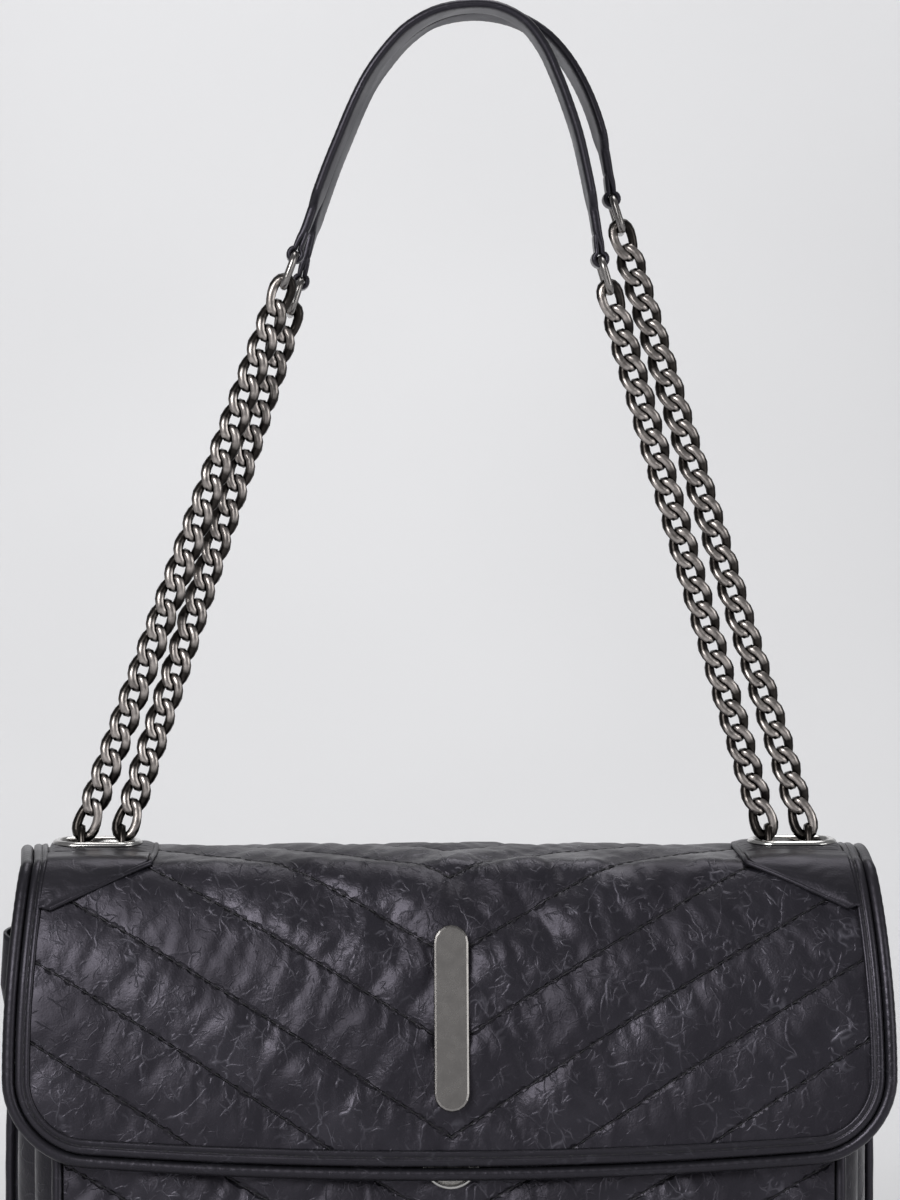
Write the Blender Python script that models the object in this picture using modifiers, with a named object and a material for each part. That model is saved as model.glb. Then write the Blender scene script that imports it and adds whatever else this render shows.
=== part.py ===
"""Chevron-quilted leather flap bag hanging from a doubled chain-and-leather strap.

Units are metres and +Z is up. The bag faces -Y. It is modelled from the underside of its base,
and one empty then carries it so that the origin lies at the underside of the strap's crown.
"""

import math

import bmesh
import bpy
from mathutils import Matrix, Vector
from mathutils.geometry import interpolate_bezier

# Clearance between pieces that touch
GAP = 0.0003

# Points along each curved section, before it is cut into rows
SAMPLES = 80

# Body
BAG_HEIGHT = 0.198
BASE_DEPTH = 0.076
TOP_DEPTH = 0.052
DEPTH_TAPER = 1.6
BODY_BELLY = 0.003
FRONT_BASE_WIDTH = 0.240
FRONT_TOP_WIDTH = 0.242
BACK_BASE_WIDTH = 0.268
BACK_TOP_WIDTH = 0.262
BACK_SIDE_BOW = 0.006
QUILT_THICKNESS = 0.003
PANEL_PILLOW = 0.003
MOUTH_HEIGHT = 0.160
MOUTH_SAG = 0.002
BACK_PANEL_TOP = 0.186

# Base
BASE_THICKNESS = 0.003
BASE_CORNER = 0.006
BOARD_THICKNESS = 0.0015
BOARD_MARGIN = 0.004

# Gussets
GUSSET_THICKNESS = 0.0016
GUSSET_INSET = 0.003
GUSSET_PLEAT = 0.009
GUSSET_BACK_FADE = 0.5
GUSSET_FRONT_TOP = 0.157
GUSSET_BACK_TOP = 0.176

# Top panel
TOP_WIDTH = 0.266
TOP_THICKNESS = 0.0024
TOP_BACK_RISE = 0.0164
TOP_FRONT_REACH = 0.016
TOP_FRONT_SLOPE = 10.0
TOP_ROWS = 10

# Flap
HINGE_Y = -0.026
HINGE_Z = 0.1945
HINGE_CLEARANCE = 0.0012
FLAP_THICKNESS = 0.0022
FLAP_TOP_WIDTH = 0.2595
FLAP_WIDTH = 0.2695
FLAP_DROP = 0.0860
FLAP_CORNER = 0.021
FLAP_CROWN = 0.0015
FLAP_CROWN_AT_SNAP = 0.1
FLAP_FLARE_SHARE = 0.75
FLAP_FOLD_REACH = 0.009
FLAP_FOLD_DIP = 0.002
FLAP_TUCK = 0.0011
FLAP_FACE_DROP = 0.050
HEM_SAG = 0.006
HEM_ROW_SPREAD = 1.15
FLAP_SIDE_ROWS = 6
FLAP_CORNER_ROWS = 4
FLAP_HEM_ROWS = 4

# Linings and inner pocket
LINING_THICKNESS = 0.0008
LINING_SIDE_MARGIN = 0.006
BACK_LINING_TOP = 0.174
FLAP_LINING_START = 0.014
FLAP_LINING_MARGIN = 0.004
POUCH_THICKNESS = 0.002
POUCH_WIDTH = 0.168
POUCH_BOTTOM = 0.060

# Piping
PIPING_RADIUS = 0.0016
FLAP_PIPING_RADIUS = 0.002
PATCH_PIPING_RADIUS = 0.0012

# Smooth leather patches
PATCH_THICKNESS = 0.0012
PATCH_LENGTH = 0.034
PATCH_DROP = 0.015
PATCH_START = 0.004
PATCH_TIP = 0.002
EYELET_PATCH_LENGTH = 0.042
EYELET_PATCH_DEPTH = 0.036

# Eyelets
OVAL_SIDES = 18
EYELET_X = 0.111
EYELET_Y = -0.002
EYELET_HOLE_LENGTH = 0.023
EYELET_HOLE_WIDTH = 0.011
EYELET_WALL = 0.0008
EYELET_FLANGE = 0.0024
EYELET_ROLL = 0.0007
EYELET_CREST = 0.55
EYELET_LIP = 0.6
EYELET_BARREL_END = 0.0040
WASHER_THICKNESS = 0.001
WASHER_RIM = 0.0034
WASHER_DROP = 0.0012

# Chain
CHAIN_WIRE = 0.0022
CHAIN_PITCH = 0.0083
CHAIN_FUSE = 0.0004
LINK_TIP = 0.0042
LINK_WIDTH = 0.0072
LONG_LINK_SHOULDER = 0.0022
RUN_SPACING = 0.0128
RUN_SHIFT = 0.0014
PIVOT_HEIGHT = 0.0019
INNER_RUN_STEP = 0.0086

# End links and shoulder straps
END_LINK_LENGTH = 0.0108
END_LINK_EASE = 0.0007
END_LINK_BOW = 0.0016
END_LINK_SHOULDER = 0.0022
STRAP_WIDTH = 0.018
STRAP_THICKNESS = 0.003
STRAP_SPACING = 0.020
NECK_WIDTH = 0.009
NECK_THICKNESS = 0.0016
NECK_LENGTH = 0.017
NECK_TAIL = 0.012
NECK_START = 0.0136
FOLD_START_ANGLE = 48
FOLD_STEPS = 8
CROWN_X = 0.006
CROWN_HEIGHT = 0.4690
ARCH_SAMPLES = 240
ARCH_CROWDING = 0.8
ARCH_ROWS = 12
FRONT_LEFT_REACH = 0.0566
FRONT_LEFT_DROP = 0.082
FRONT_LEFT_CURVE = 1.7
FRONT_RIGHT_REACH = 0.041
FRONT_RIGHT_DROP = 0.083
FRONT_RIGHT_CURVE = 3.6
REAR_LEFT_REACH = 0.0524
REAR_LEFT_DROP = 0.092
REAR_LEFT_CURVE = 1.7
REAR_RIGHT_REACH = 0.045
REAR_RIGHT_DROP = 0.0625
REAR_RIGHT_CURVE = 3.1

# Magnetic snap
SNAP_HEIGHT = 0.103
SNAP_SOCKET_RADIUS = 0.009
SNAP_STUD_RADIUS = 0.0062
SNAP_SOCKET_THICKNESS = 0.0017
SNAP_SOCKET_BORE = 0.0032
SNAP_STUD_THICKNESS = 0.0013
SNAP_PIN_RADIUS = 0.0025
SNAP_PIN_LENGTH = 0.0015
SNAP_BEVEL = 0.0004

# Plain bar on the flap
BAR_DISTANCE = 0.050
BAR_LENGTH = 0.058
BAR_WIDTH = 0.011
BAR_THICKNESS = 0.0026
BAR_BEVEL = 0.0008
BAR_POST_SPACING = 0.036
BAR_POST_RADIUS = 0.0012
BAR_WASHER_RADIUS = 0.0035
BAR_WASHER_THICKNESS = 0.0007
BAR_POST_TAIL = 0.0012

# Zip of the inner pocket
ZIP_HEIGHT = 0.148
ZIP_LENGTH = 0.150
ZIP_TAPE_WIDTH = 0.0104
ZIP_TAPE_THICKNESS = 0.0006
ZIP_TEETH_WIDTH = 0.0046
ZIP_TEETH_THICKNESS = 0.0014
ZIP_STOP = 0.010
ZIP_WINDOW_DEPTH = 0.006
SLIDER_LENGTH = 0.009
SLIDER_WALL = 0.001
SLIDER_LIP = 0.001
SLIDER_EAR_HEIGHT = 0.0034
SLIDER_EAR_SPACING = 0.0036
SLIDER_PIN_RADIUS = 0.0006
PULLER_LENGTH = 0.022
PULLER_WIDTH = 0.0052
PULLER_THICKNESS = 0.0010
PULLER_EYE = 0.0018
PULLER_NECK_LENGTH = 0.0040
PULLER_GRIP_START = 0.0036

parts = bpy.data.collections.new("Quilted flap bag")
cutters = bpy.data.collections.new("Cutters")


# Helpers


def mix(a, b, share):
    return a + (b - a) * share


def make_material(name, colour, roughness, metallic=0.0):
    """Principled material with one colour."""
    material = bpy.data.materials.new(name)
    material.use_nodes = True
    shader = material.node_tree.nodes["Principled BSDF"]
    shader.inputs["Base Color"].default_value = (*colour, 1.0)
    shader.inputs["Roughness"].default_value = roughness
    shader.inputs["Metallic"].default_value = metallic
    return material


def add_object(name, mesh, material=None, collection=parts):
    """Object in the part's collection, with its material."""
    thing = bpy.data.objects.new(name, mesh)
    collection.objects.link(thing)
    if material:
        mesh.materials.append(material)
    return thing


def bm_object(name, bm, material=None, collection=parts):
    """Object from a bmesh, which is freed."""
    mesh = bpy.data.meshes.new(name)
    bmesh.ops.recalc_face_normals(bm, faces=bm.faces)
    bm.to_mesh(mesh)
    bm.free()
    return add_object(name, mesh, material, collection)


def as_cutter(thing):
    thing.hide_render = True
    thing.display_type = "WIRE"
    return thing


def evaluated_mesh(thing):
    """Mesh of an object with its modifiers or its curve bevel."""
    bpy.context.view_layer.update()
    graph = bpy.context.evaluated_depsgraph_get()
    return bpy.data.meshes.new_from_object(thing.evaluated_get(graph))


def grid_mesh(name, point, across, along):
    """Open surface of point(u, v) with u and v from 0 to 1."""
    bm = bmesh.new()
    bmesh.ops.create_grid(bm, x_segments=across, y_segments=along, size=0.5)
    for vertex in bm.verts:
        vertex.co = point(vertex.co.x + 0.5, vertex.co.y + 0.5)
    mesh = bpy.data.meshes.new(name)
    bm.to_mesh(mesh)
    bm.free()
    return mesh


def sheet(name, point, across, along, thickness, material):
    """Sheet of leather or cloth: a surface with its thickness centred on it."""
    thing = add_object(name, grid_mesh(name, point, across, along), material)
    solid = thing.modifiers.new("Thickness", "SOLIDIFY")
    solid.thickness = thickness
    solid.offset = 0.0
    for polygon in thing.data.polygons:
        polygon.use_smooth = True
    return thing


def cut(thing, cutter):
    hole = thing.modifiers.new("Cut", "BOOLEAN")
    hole.operation = "DIFFERENCE"
    hole.solver = "EXACT"
    hole.object = cutter


def union(thing, other):
    fuse = thing.modifiers.new("Fuse", "BOOLEAN")
    fuse.operation = "UNION"
    fuse.solver = "EXACT"
    fuse.object = other


def tube(name, points, radius, material):
    """Rolled piping along a row of points."""
    curve = bpy.data.curves.new(name, "CURVE")
    curve.dimensions = "3D"
    curve.bevel_depth = radius
    curve.bevel_resolution = 2
    curve.use_fill_caps = True
    spline = curve.splines.new("POLY")
    spline.points.add(len(points) - 1)
    for control, point in zip(spline.points, points):
        control.co = (*point, 1.0)
    return add_object(name, curve, material)


def resample(points, count):
    """Evenly spaced points along a row of points."""
    lengths = [0.0]
    for before, after in zip(points, points[1:]):
        lengths.append(lengths[-1] + (after - before).length)
    result = []
    index = 0
    for step in range(count):
        target = lengths[-1] * step / (count - 1)
        while index < len(points) - 2 and lengths[index + 1] < target:
            index += 1
        share = (target - lengths[index]) / (lengths[index + 1] - lengths[index])
        result.append(points[index].lerp(points[index + 1], share))
    return result


def frame_at(origin, x_axis, z_axis):
    """Matrix with its origin, its X axis and its Z axis near the ones given."""
    z = z_axis.normalized()
    y = z.cross(x_axis).normalized()
    x = y.cross(z)
    matrix = Matrix((x, y, z)).transposed().to_4x4()
    matrix.translation = origin
    return matrix


def normal_of(surface, first, second):
    """Unit normal of surface(a, b) by small steps, with its origin."""
    step = 0.0005
    origin = surface(first, second)
    along = surface(first + step, second) - surface(first - step, second)
    down = surface(first, second + step) - surface(first, second - step)
    return origin, along.cross(down).normalized()


# Shape of the body


def half_depth(z):
    """Half of the body's depth at a height, to the middle of the leather."""
    share = max(z, 0.0) / BAG_HEIGHT
    taper = mix(BASE_DEPTH, TOP_DEPTH, share ** DEPTH_TAPER) / 2
    return taper + BODY_BELLY * math.sin(math.pi * min(share, 1.0))


def front_half_width(z):
    return mix(FRONT_BASE_WIDTH, FRONT_TOP_WIDTH, z / MOUTH_HEIGHT) / 2


def back_half_width(z):
    share = z / BAG_HEIGHT
    return mix(BACK_BASE_WIDTH, BACK_TOP_WIDTH, share) / 2 + BACK_SIDE_BOW * math.sin(math.pi * share)


def front_surface(x, z):
    """Middle of the front panel's leather."""
    share = x / front_half_width(z)
    rise = math.sin(math.pi * min(max(z / MOUTH_HEIGHT, 0.0), 1.0))
    return Vector((x, -half_depth(z) - PANEL_PILLOW * (1 - share ** 2) * rise, z))


def back_surface(x, z, inward=0.0):
    """Middle of the back panel's leather, or a surface that far inside it."""
    return Vector((x, half_depth(z) - inward, z))


WALL_BOTTOM = BASE_THICKNESS + GAP
HINGE = Vector((0.0, HINGE_Y, HINGE_Z))

TOP_END = Vector((0.0, HINGE_Y + TOP_THICKNESS / 2 + HINGE_CLEARANCE, HINGE_Z))
TOP_START = Vector((0.0, half_depth(BACK_PANEL_TOP), BACK_PANEL_TOP + GAP))


def top_profile():
    """Section of the top panel from the back fold to the flap's fold."""
    slope = math.radians(TOP_FRONT_SLOPE)
    lift = Vector((0.0, math.cos(slope), math.sin(slope))) * TOP_FRONT_REACH
    first = TOP_START + Vector((0.0, 0.0, TOP_BACK_RISE))
    return resample(interpolate_bezier(TOP_START, first, TOP_END + lift, TOP_END, SAMPLES), SAMPLES + 1)


TOP_PROFILE = top_profile()


def top_surface(x, y, rise=0.0):
    """Middle of the top panel's leather above a depth, or a surface that far above it."""
    index = 0
    while index < len(TOP_PROFILE) - 2 and TOP_PROFILE[index + 1].y > y:
        index += 1
    start, end = TOP_PROFILE[index], TOP_PROFILE[index + 1]
    share = (start.y - y) / (start.y - end.y)
    return Vector((x, y, mix(start.z, end.z, share) + rise))


# Shape of the flap, by the distance along it from its fold

SNAP_ORIGIN, SNAP_OUT = normal_of(front_surface, 0.0, SNAP_HEIGHT)
SNAP_SEAT = SNAP_ORIGIN.y - QUILT_THICKNESS / 2
SNAP_LEAN = SNAP_STUD_RADIUS * abs(SNAP_OUT.z / SNAP_OUT.y)
SNAP_STACK = SNAP_SOCKET_THICKNESS + SNAP_STUD_THICKNESS + 3 * GAP + SNAP_LEAN
FLAP_LAYERS = LINING_THICKNESS + GAP + FLAP_THICKNESS / 2
HEM_Y = SNAP_SEAT - SNAP_STACK - FLAP_LAYERS + FLAP_CROWN * FLAP_CROWN_AT_SNAP
HEM = Vector((0.0, HEM_Y, HINGE_Z - FLAP_DROP))
FLAP_CURVE = [Vector(point) for point in interpolate_bezier(
    HINGE,
    HINGE + Vector((0.0, -FLAP_FOLD_REACH, -FLAP_FOLD_DIP)),
    HEM + Vector((0.0, FLAP_TUCK, FLAP_FACE_DROP)),
    HEM,
    SAMPLES,
)]
FLAP_LENGTH = sum((b - a).length for a, b in zip(FLAP_CURVE, FLAP_CURVE[1:]))
FLAP_PROFILE = resample(FLAP_CURVE, SAMPLES + 1)


def flap_half_width(s):
    """Half of the flap's width at a distance from the fold, without its rounded corners."""
    share = min(max(s / (FLAP_FLARE_SHARE * FLAP_LENGTH), 0.0), 1.0)
    return mix(FLAP_TOP_WIDTH, FLAP_WIDTH, math.sin(share * math.pi / 2)) / 2


def flap_edge(s, inset=0.0):
    """Half of the flap's width with its rounded lower corners, or of an outline inside it."""
    corner = FLAP_CORNER - inset
    left = max(FLAP_LENGTH - inset - s, 0.0)
    width = flap_half_width(s) - inset
    if left < corner:
        width -= corner - math.sqrt(max(corner ** 2 - (corner - left) ** 2, 0.0))
    return width


def flap_surface(x, s, outward=0.0):
    """Middle of the flap's leather, or a surface that far in front of it."""
    step = FLAP_LENGTH / (len(FLAP_PROFILE) - 1)
    index = min(max(int(s / step), 0), len(FLAP_PROFILE) - 2)
    start, end = FLAP_PROFILE[index], FLAP_PROFILE[index + 1]
    tangent = (end - start).normalized()
    base = start + tangent * (s - index * step)
    share = max(1 - (x / flap_half_width(s)) ** 2, 0.0)
    run = s / FLAP_LENGTH
    crown = FLAP_CROWN * share * math.sin(math.pi * min(max(run, 0.0), 1.0))
    normal = Vector((0.0, tangent.z, -tangent.y))
    point = base + normal * (outward + crown)
    return Vector((x, point.y, point.z - HEM_SAG * share * run ** 2))


# Materials

quilt = make_material("Crinkled black leather", (0.030, 0.030, 0.034), 0.42)
smooth = make_material("Smooth black leather", (0.022, 0.022, 0.025), 0.38)
gusset_leather = make_material("Gusset leather", (0.026, 0.026, 0.029), 0.45)
strap_leather = make_material("Strap leather", (0.020, 0.020, 0.022), 0.36)
lining_cloth = make_material("Lining cloth", (0.045, 0.044, 0.046), 0.80)
board = make_material("Base board", (0.10, 0.09, 0.08), 0.85)
gunmetal = make_material("Aged gunmetal", (0.17, 0.16, 0.15), 0.30, 1.0)
eyelet_metal = make_material("Eyelet metal", (0.42, 0.41, 0.40), 0.25, 1.0)
zip_metal = make_material("Zip metal", (0.28, 0.27, 0.26), 0.30, 1.0)


# Base


def trapezoid(name, front, back, depth, bottom, thickness, corner, material):
    """Plate whose front and back half widths differ, with rounded corners."""
    bm = bmesh.new()
    bmesh.ops.create_cube(bm, size=1.0)
    for vertex in bm.verts:
        half = front if vertex.co.y < 0 else back
        vertex.co.x = math.copysign(half, vertex.co.x)
        vertex.co.y = math.copysign(depth, vertex.co.y)
        vertex.co.z = bottom + (thickness if vertex.co.z > 0 else 0.0)
    upright = [edge for edge in bm.edges if abs(edge.verts[0].co.z - edge.verts[1].co.z) > thickness / 2]
    bmesh.ops.bevel(bm, geom=upright, offset=corner, segments=3, profile=0.5, affect="EDGES")
    return bm_object(name, bm, material)


def build_base():
    wall = QUILT_THICKNESS / 2
    depth = half_depth(0.0)
    front = front_half_width(0.0)
    back = back_half_width(0.0)
    base = trapezoid("base_panel", front, back, depth + wall, 0.0, BASE_THICKNESS, BASE_CORNER, smooth)
    stiffener = trapezoid(
        "base_board", front - BOARD_MARGIN, back - BOARD_MARGIN - GUSSET_INSET, depth - wall - 2 * GAP,
        WALL_BOTTOM, BOARD_THICKNESS, BASE_CORNER, board,
    )
    return [base, stiffener]


# Walls


def front_panel_point(u, v):
    sag = MOUTH_SAG * math.sin(math.pi * u)
    z = mix(WALL_BOTTOM, MOUTH_HEIGHT - sag, v)
    return front_surface((2 * u - 1) * front_half_width(z), z)


def back_panel_point(u, v):
    z = mix(WALL_BOTTOM, BACK_PANEL_TOP, v)
    return back_surface((2 * u - 1) * back_half_width(z), z)


def gusset_point(side):
    """Pleated wall from the front panel's edge, along u, to the back panel's edge."""
    def point(u, v):
        z = mix(WALL_BOTTOM, mix(GUSSET_FRONT_TOP, GUSSET_BACK_TOP, u), v)
        start_x = front_half_width(z) - GUSSET_INSET
        end_x = back_half_width(z) - GUSSET_INSET
        inner_face = QUILT_THICKNESS / 2 + 2 * GAP
        start_y = front_surface(start_x, z).y + inner_face
        end_y = back_surface(end_x, z).y - inner_face
        pleat = GUSSET_PLEAT * (1 - GUSSET_BACK_FADE * u) * math.sin(2 * math.pi * u) ** 2
        return Vector((side * (mix(start_x, end_x, u) + pleat), mix(start_y, end_y, u), z))
    return point


def build_walls():
    made = [
        sheet("front_panel", front_panel_point, 6, 7, QUILT_THICKNESS, quilt),
        sheet("back_panel", back_panel_point, 4, 7, QUILT_THICKNESS, quilt),
    ]
    for side, label in ((-1, "left"), (1, "right")):
        name = f"{label}_gusset"
        made.append(sheet(name, gusset_point(side), 12, 4, GUSSET_THICKNESS, gusset_leather))
    return made


def build_wall_piping():
    """Rolled side edges of both panels and the bound edge of the mouth."""
    reach = PIPING_RADIUS + GAP
    steps = [step / 6 for step in range(7)]
    made = []
    for side, label in ((-1, "left"), (1, "right")):
        front = [front_panel_point(0.5 + side / 2, v) + Vector((side * reach, 0, 0)) for v in steps]
        back = [back_panel_point(0.5 + side / 2, v) + Vector((side * reach, 0, 0)) for v in steps]
        made.append(tube(f"{label}_front_piping", front, PIPING_RADIUS, smooth))
        made.append(tube(f"{label}_back_piping", back, PIPING_RADIUS, smooth))
    mouth = [front_panel_point(u, 1.0) + Vector((0, 0, reach + GAP)) for u in steps]
    made.append(tube("mouth_binding", mouth, PIPING_RADIUS, smooth))
    return made


# Top panel, eyelets and their patches


def oval(centre, angle, growth):
    """Point of the eyelet's long oval, grown outward, in the direction of an angle."""
    radius = EYELET_HOLE_WIDTH / 2 + growth
    straight = math.copysign((EYELET_HOLE_LENGTH - EYELET_HOLE_WIDTH) / 2, math.cos(angle))
    return Vector((centre.x + straight + radius * math.cos(angle), centre.y + radius * math.sin(angle)))


def oval_plate(name, centre, growth, bottom, thickness, material=None):
    """Upright plate or cutter with the eyelet's outline, grown outward."""
    bm = bmesh.new()
    bmesh.ops.create_cone(
        bm, cap_ends=True, segments=OVAL_SIDES, radius1=1.0, radius2=1.0, depth=1.0,
        matrix=Matrix.Rotation(math.pi / OVAL_SIDES, 4, "Z"),
    )
    for vertex in bm.verts:
        place = oval(centre, math.atan2(vertex.co.y, vertex.co.x), growth)
        vertex.co = (*place, bottom + (vertex.co.z + 0.5) * thickness)
    return bm_object(name, bm, material, parts if material else cutters)


def top_panel_point(u, v):
    point = resample(TOP_PROFILE, TOP_ROWS + 1)[round(v * TOP_ROWS)]
    return Vector(((u - 0.5) * TOP_WIDTH, point.y, point.z))


def eyelet_patch_point(side):
    def point(u, v):
        x = side * (TOP_WIDTH / 2 - GAP - EYELET_PATCH_LENGTH * u)
        y = EYELET_Y + EYELET_PATCH_DEPTH * (v - 0.5)
        return top_surface(x, y, TOP_THICKNESS / 2 + 2 * GAP + PATCH_THICKNESS / 2)
    return point


def eyelet_shell(name, centre, seat):
    """Oval eyelet: a rolled flange on the patch and a barrel down through the leather."""
    wall = EYELET_WALL / 2
    profile = (
        (EYELET_FLANGE, seat + wall),
        (EYELET_FLANGE * EYELET_CREST, seat + wall + EYELET_ROLL),
        (wall + EYELET_WALL * (1 - EYELET_LIP), seat + wall + EYELET_ROLL * EYELET_LIP),
        (wall, seat - EYELET_WALL),
        (wall, seat - EYELET_BARREL_END - TOP_THICKNESS),
    )
    bm = bmesh.new()
    rings = []
    for growth, height in profile:
        ring = []
        for step in range(OVAL_SIDES):
            place = oval(centre, 2 * math.pi * (step + 0.5) / OVAL_SIDES, growth)
            ring.append(bm.verts.new((*place, height)))
        rings.append(ring)
    for upper, lower in zip(rings, rings[1:]):
        for step in range(OVAL_SIDES):
            after = (step + 1) % OVAL_SIDES
            bm.faces.new((upper[step], lower[step], lower[after], upper[after]))
    thing = bm_object(name, bm, eyelet_metal)
    thing.data.shade_smooth()
    solid = thing.modifiers.new("Thickness", "SOLIDIFY")
    solid.thickness = EYELET_WALL
    solid.offset = 0.0
    return thing


EYELET_SEAT = top_surface(0, EYELET_Y).z + TOP_THICKNESS / 2 + 3 * GAP + PATCH_THICKNESS
WASHER_TOP = top_surface(0, EYELET_Y).z - TOP_THICKNESS / 2 - GAP - WASHER_DROP


def build_top():
    top = sheet("top_panel", top_panel_point, 4, TOP_ROWS, TOP_THICKNESS, quilt)
    made = [top]
    clear = EYELET_WALL + GAP
    for side, label in ((-1, "left"), (1, "right")):
        centre = Vector((side * EYELET_X, EYELET_Y, 0.0))
        bore = oval_plate(f"{label}_eyelet_bore", centre, clear, BACK_PANEL_TOP, BASE_DEPTH / 2)
        as_cutter(bore)
        patch = sheet(
            f"{label}_eyelet_patch", eyelet_patch_point(side), 4, 5, PATCH_THICKNESS, smooth,
        )
        washer = oval_plate(
            f"{label}_eyelet_washer", centre, clear + WASHER_RIM,
            WASHER_TOP - WASHER_THICKNESS, WASHER_THICKNESS, eyelet_metal,
        )
        for thing in (top, patch, washer):
            cut(thing, bore)
        made += [patch, washer, eyelet_shell(f"{label}_eyelet", centre, EYELET_SEAT)]
    return made


# Linings and the pocket


FRONT_LINING_INSET = QUILT_THICKNESS / 2 + GAP + LINING_THICKNESS / 2
POUCH_INSET = QUILT_THICKNESS / 2 + GAP + POUCH_THICKNESS / 2
BACK_LINING_INSET = POUCH_INSET + POUCH_THICKNESS / 2 + GAP + LINING_THICKNESS / 2
LINING_BOTTOM = WALL_BOTTOM + BOARD_THICKNESS + GAP


def front_lining_point(u, v):
    z = mix(LINING_BOTTOM, MOUTH_HEIGHT - MOUTH_SAG - GAP, v)
    point = front_surface((2 * u - 1) * (front_half_width(z) - LINING_SIDE_MARGIN), z)
    return point + Vector((0.0, FRONT_LINING_INSET + GAP, 0.0))


def back_lining_point(u, v):
    z = mix(LINING_BOTTOM, BACK_LINING_TOP, v)
    half = back_half_width(z) - GUSSET_INSET - LINING_SIDE_MARGIN
    return back_surface((2 * u - 1) * half, z, BACK_LINING_INSET)


def pouch_point(u, v):
    z = mix(POUCH_BOTTOM, ZIP_HEIGHT + ZIP_TAPE_WIDTH, v)
    return back_surface((u - 0.5) * POUCH_WIDTH, z, POUCH_INSET)


def zip_frame():
    """Frame on the pocket's zip: X along it, Y up the lining and Z out of the wall."""
    origin, out = normal_of(lambda x, z: back_surface(x, z, BACK_LINING_INSET), 0.0, ZIP_HEIGHT)
    if out.y > 0:
        out = -out
    return frame_at(origin, Vector((1, 0, 0)), out)


ZIP_FRAME = zip_frame()


def box(name, low, high, material=None):
    """Block between two corners."""
    bm = bmesh.new()
    bmesh.ops.create_cube(bm, size=1.0)
    for vertex in bm.verts:
        share = vertex.co + Vector((0.5, 0.5, 0.5))
        vertex.co = Vector(mix(low[axis], high[axis], share[axis]) for axis in range(3))
    return bm_object(name, bm, material, parts if material else cutters)


def build_linings():
    front = sheet("front_lining", front_lining_point, 6, 5, LINING_THICKNESS, lining_cloth)
    back = sheet("back_lining", back_lining_point, 4, 5, LINING_THICKNESS, lining_cloth)
    pouch = sheet("pocket_pouch", pouch_point, 2, 4, POUCH_THICKNESS, lining_cloth)
    half_length = ZIP_LENGTH / 2 + 2 * GAP
    half_width = ZIP_TAPE_WIDTH / 2 + 2 * GAP
    half_depth_cut = ZIP_WINDOW_DEPTH / 2
    window = box(
        "zip_window", (-half_length, -half_width, -half_depth_cut), (half_length, half_width, half_depth_cut),
    )
    window.matrix_world = ZIP_FRAME
    as_cutter(window)
    cut(back, window)
    return [front, back, pouch]


# Zip of the pocket

TAPE_HALF = ZIP_TAPE_THICKNESS / 2
TEETH_BACK = TAPE_HALF + GAP
TEETH_FRONT = TEETH_BACK + ZIP_TEETH_THICKNESS
SLIDER_BACK = TEETH_FRONT + GAP
SLIDER_FRONT = SLIDER_BACK + SLIDER_WALL
SLIDER_SIDE = ZIP_TEETH_WIDTH / 2 + GAP
PULLER_PIN_HEIGHT = SLIDER_FRONT + SLIDER_EAR_HEIGHT - SLIDER_PIN_RADIUS * 2
SLIDER_START_X = ZIP_LENGTH / 2 - ZIP_STOP
SLIDER_FRAME = ZIP_FRAME @ Matrix.Translation((SLIDER_START_X, 0.0, 0.0))


def build_zip_track():
    half = ZIP_LENGTH / 2
    width = ZIP_TAPE_WIDTH / 2
    tape = box("zip_tape", (-half, -width, -TAPE_HALF), (half, width, TAPE_HALF), lining_cloth)
    end = half - ZIP_STOP / 4
    side = ZIP_TEETH_WIDTH / 2
    teeth = box("zip_teeth", (-end, -side, TEETH_BACK), (end, side, TEETH_FRONT), zip_metal)
    for thing in (tape, teeth):
        thing.matrix_world = ZIP_FRAME
    return [tape, teeth]


def cylinder_along_x(name, radius, length, y, z, segments, material=None):
    bm = bmesh.new()
    bmesh.ops.create_cone(
        bm, cap_ends=True, segments=segments, radius1=radius, radius2=radius, depth=length,
    )
    bmesh.ops.rotate(bm, verts=bm.verts, matrix=Matrix.Rotation(math.pi / 2, 3, "Y"))
    bmesh.ops.translate(bm, verts=bm.verts, vec=(0.0, y, z))
    return bm_object(name, bm, material, parts if material else cutters)


def build_slider():
    """Channel over the teeth with two ears that carry the puller's pin."""
    half = SLIDER_LENGTH / 2
    side = SLIDER_SIDE + SLIDER_LIP
    lip_back = TEETH_BACK + GAP
    slider = box("zip_slider", (-half, -side, lip_back), (half, side, SLIDER_FRONT), zip_metal)
    channel = box("slider_channel", (-half * 2, -SLIDER_SIDE, 0), (half * 2, SLIDER_SIDE, SLIDER_BACK))
    as_cutter(channel)
    cut(slider, channel)
    inner = SLIDER_EAR_SPACING / 2
    outer = inner + SLIDER_WALL
    top = SLIDER_FRONT + SLIDER_EAR_HEIGHT
    for sign, label in ((-1, "left"), (1, "right")):
        low = (min(sign * inner, sign * outer), -SLIDER_WALL, SLIDER_FRONT - SLIDER_WALL / 2)
        high = (max(sign * inner, sign * outer), SLIDER_WALL, top)
        ear = as_cutter(box(f"{label}_slider_ear", low, high))
        ear.matrix_world = SLIDER_FRAME
        union(slider, ear)
    pin = cylinder_along_x(
        "slider_pin", SLIDER_PIN_RADIUS, SLIDER_EAR_SPACING + SLIDER_WALL, 0.0, PULLER_PIN_HEIGHT, 10,
    )
    as_cutter(pin)
    union(slider, pin)
    for thing in (slider, channel, pin):
        thing.matrix_world = SLIDER_FRAME
    return slider


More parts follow.
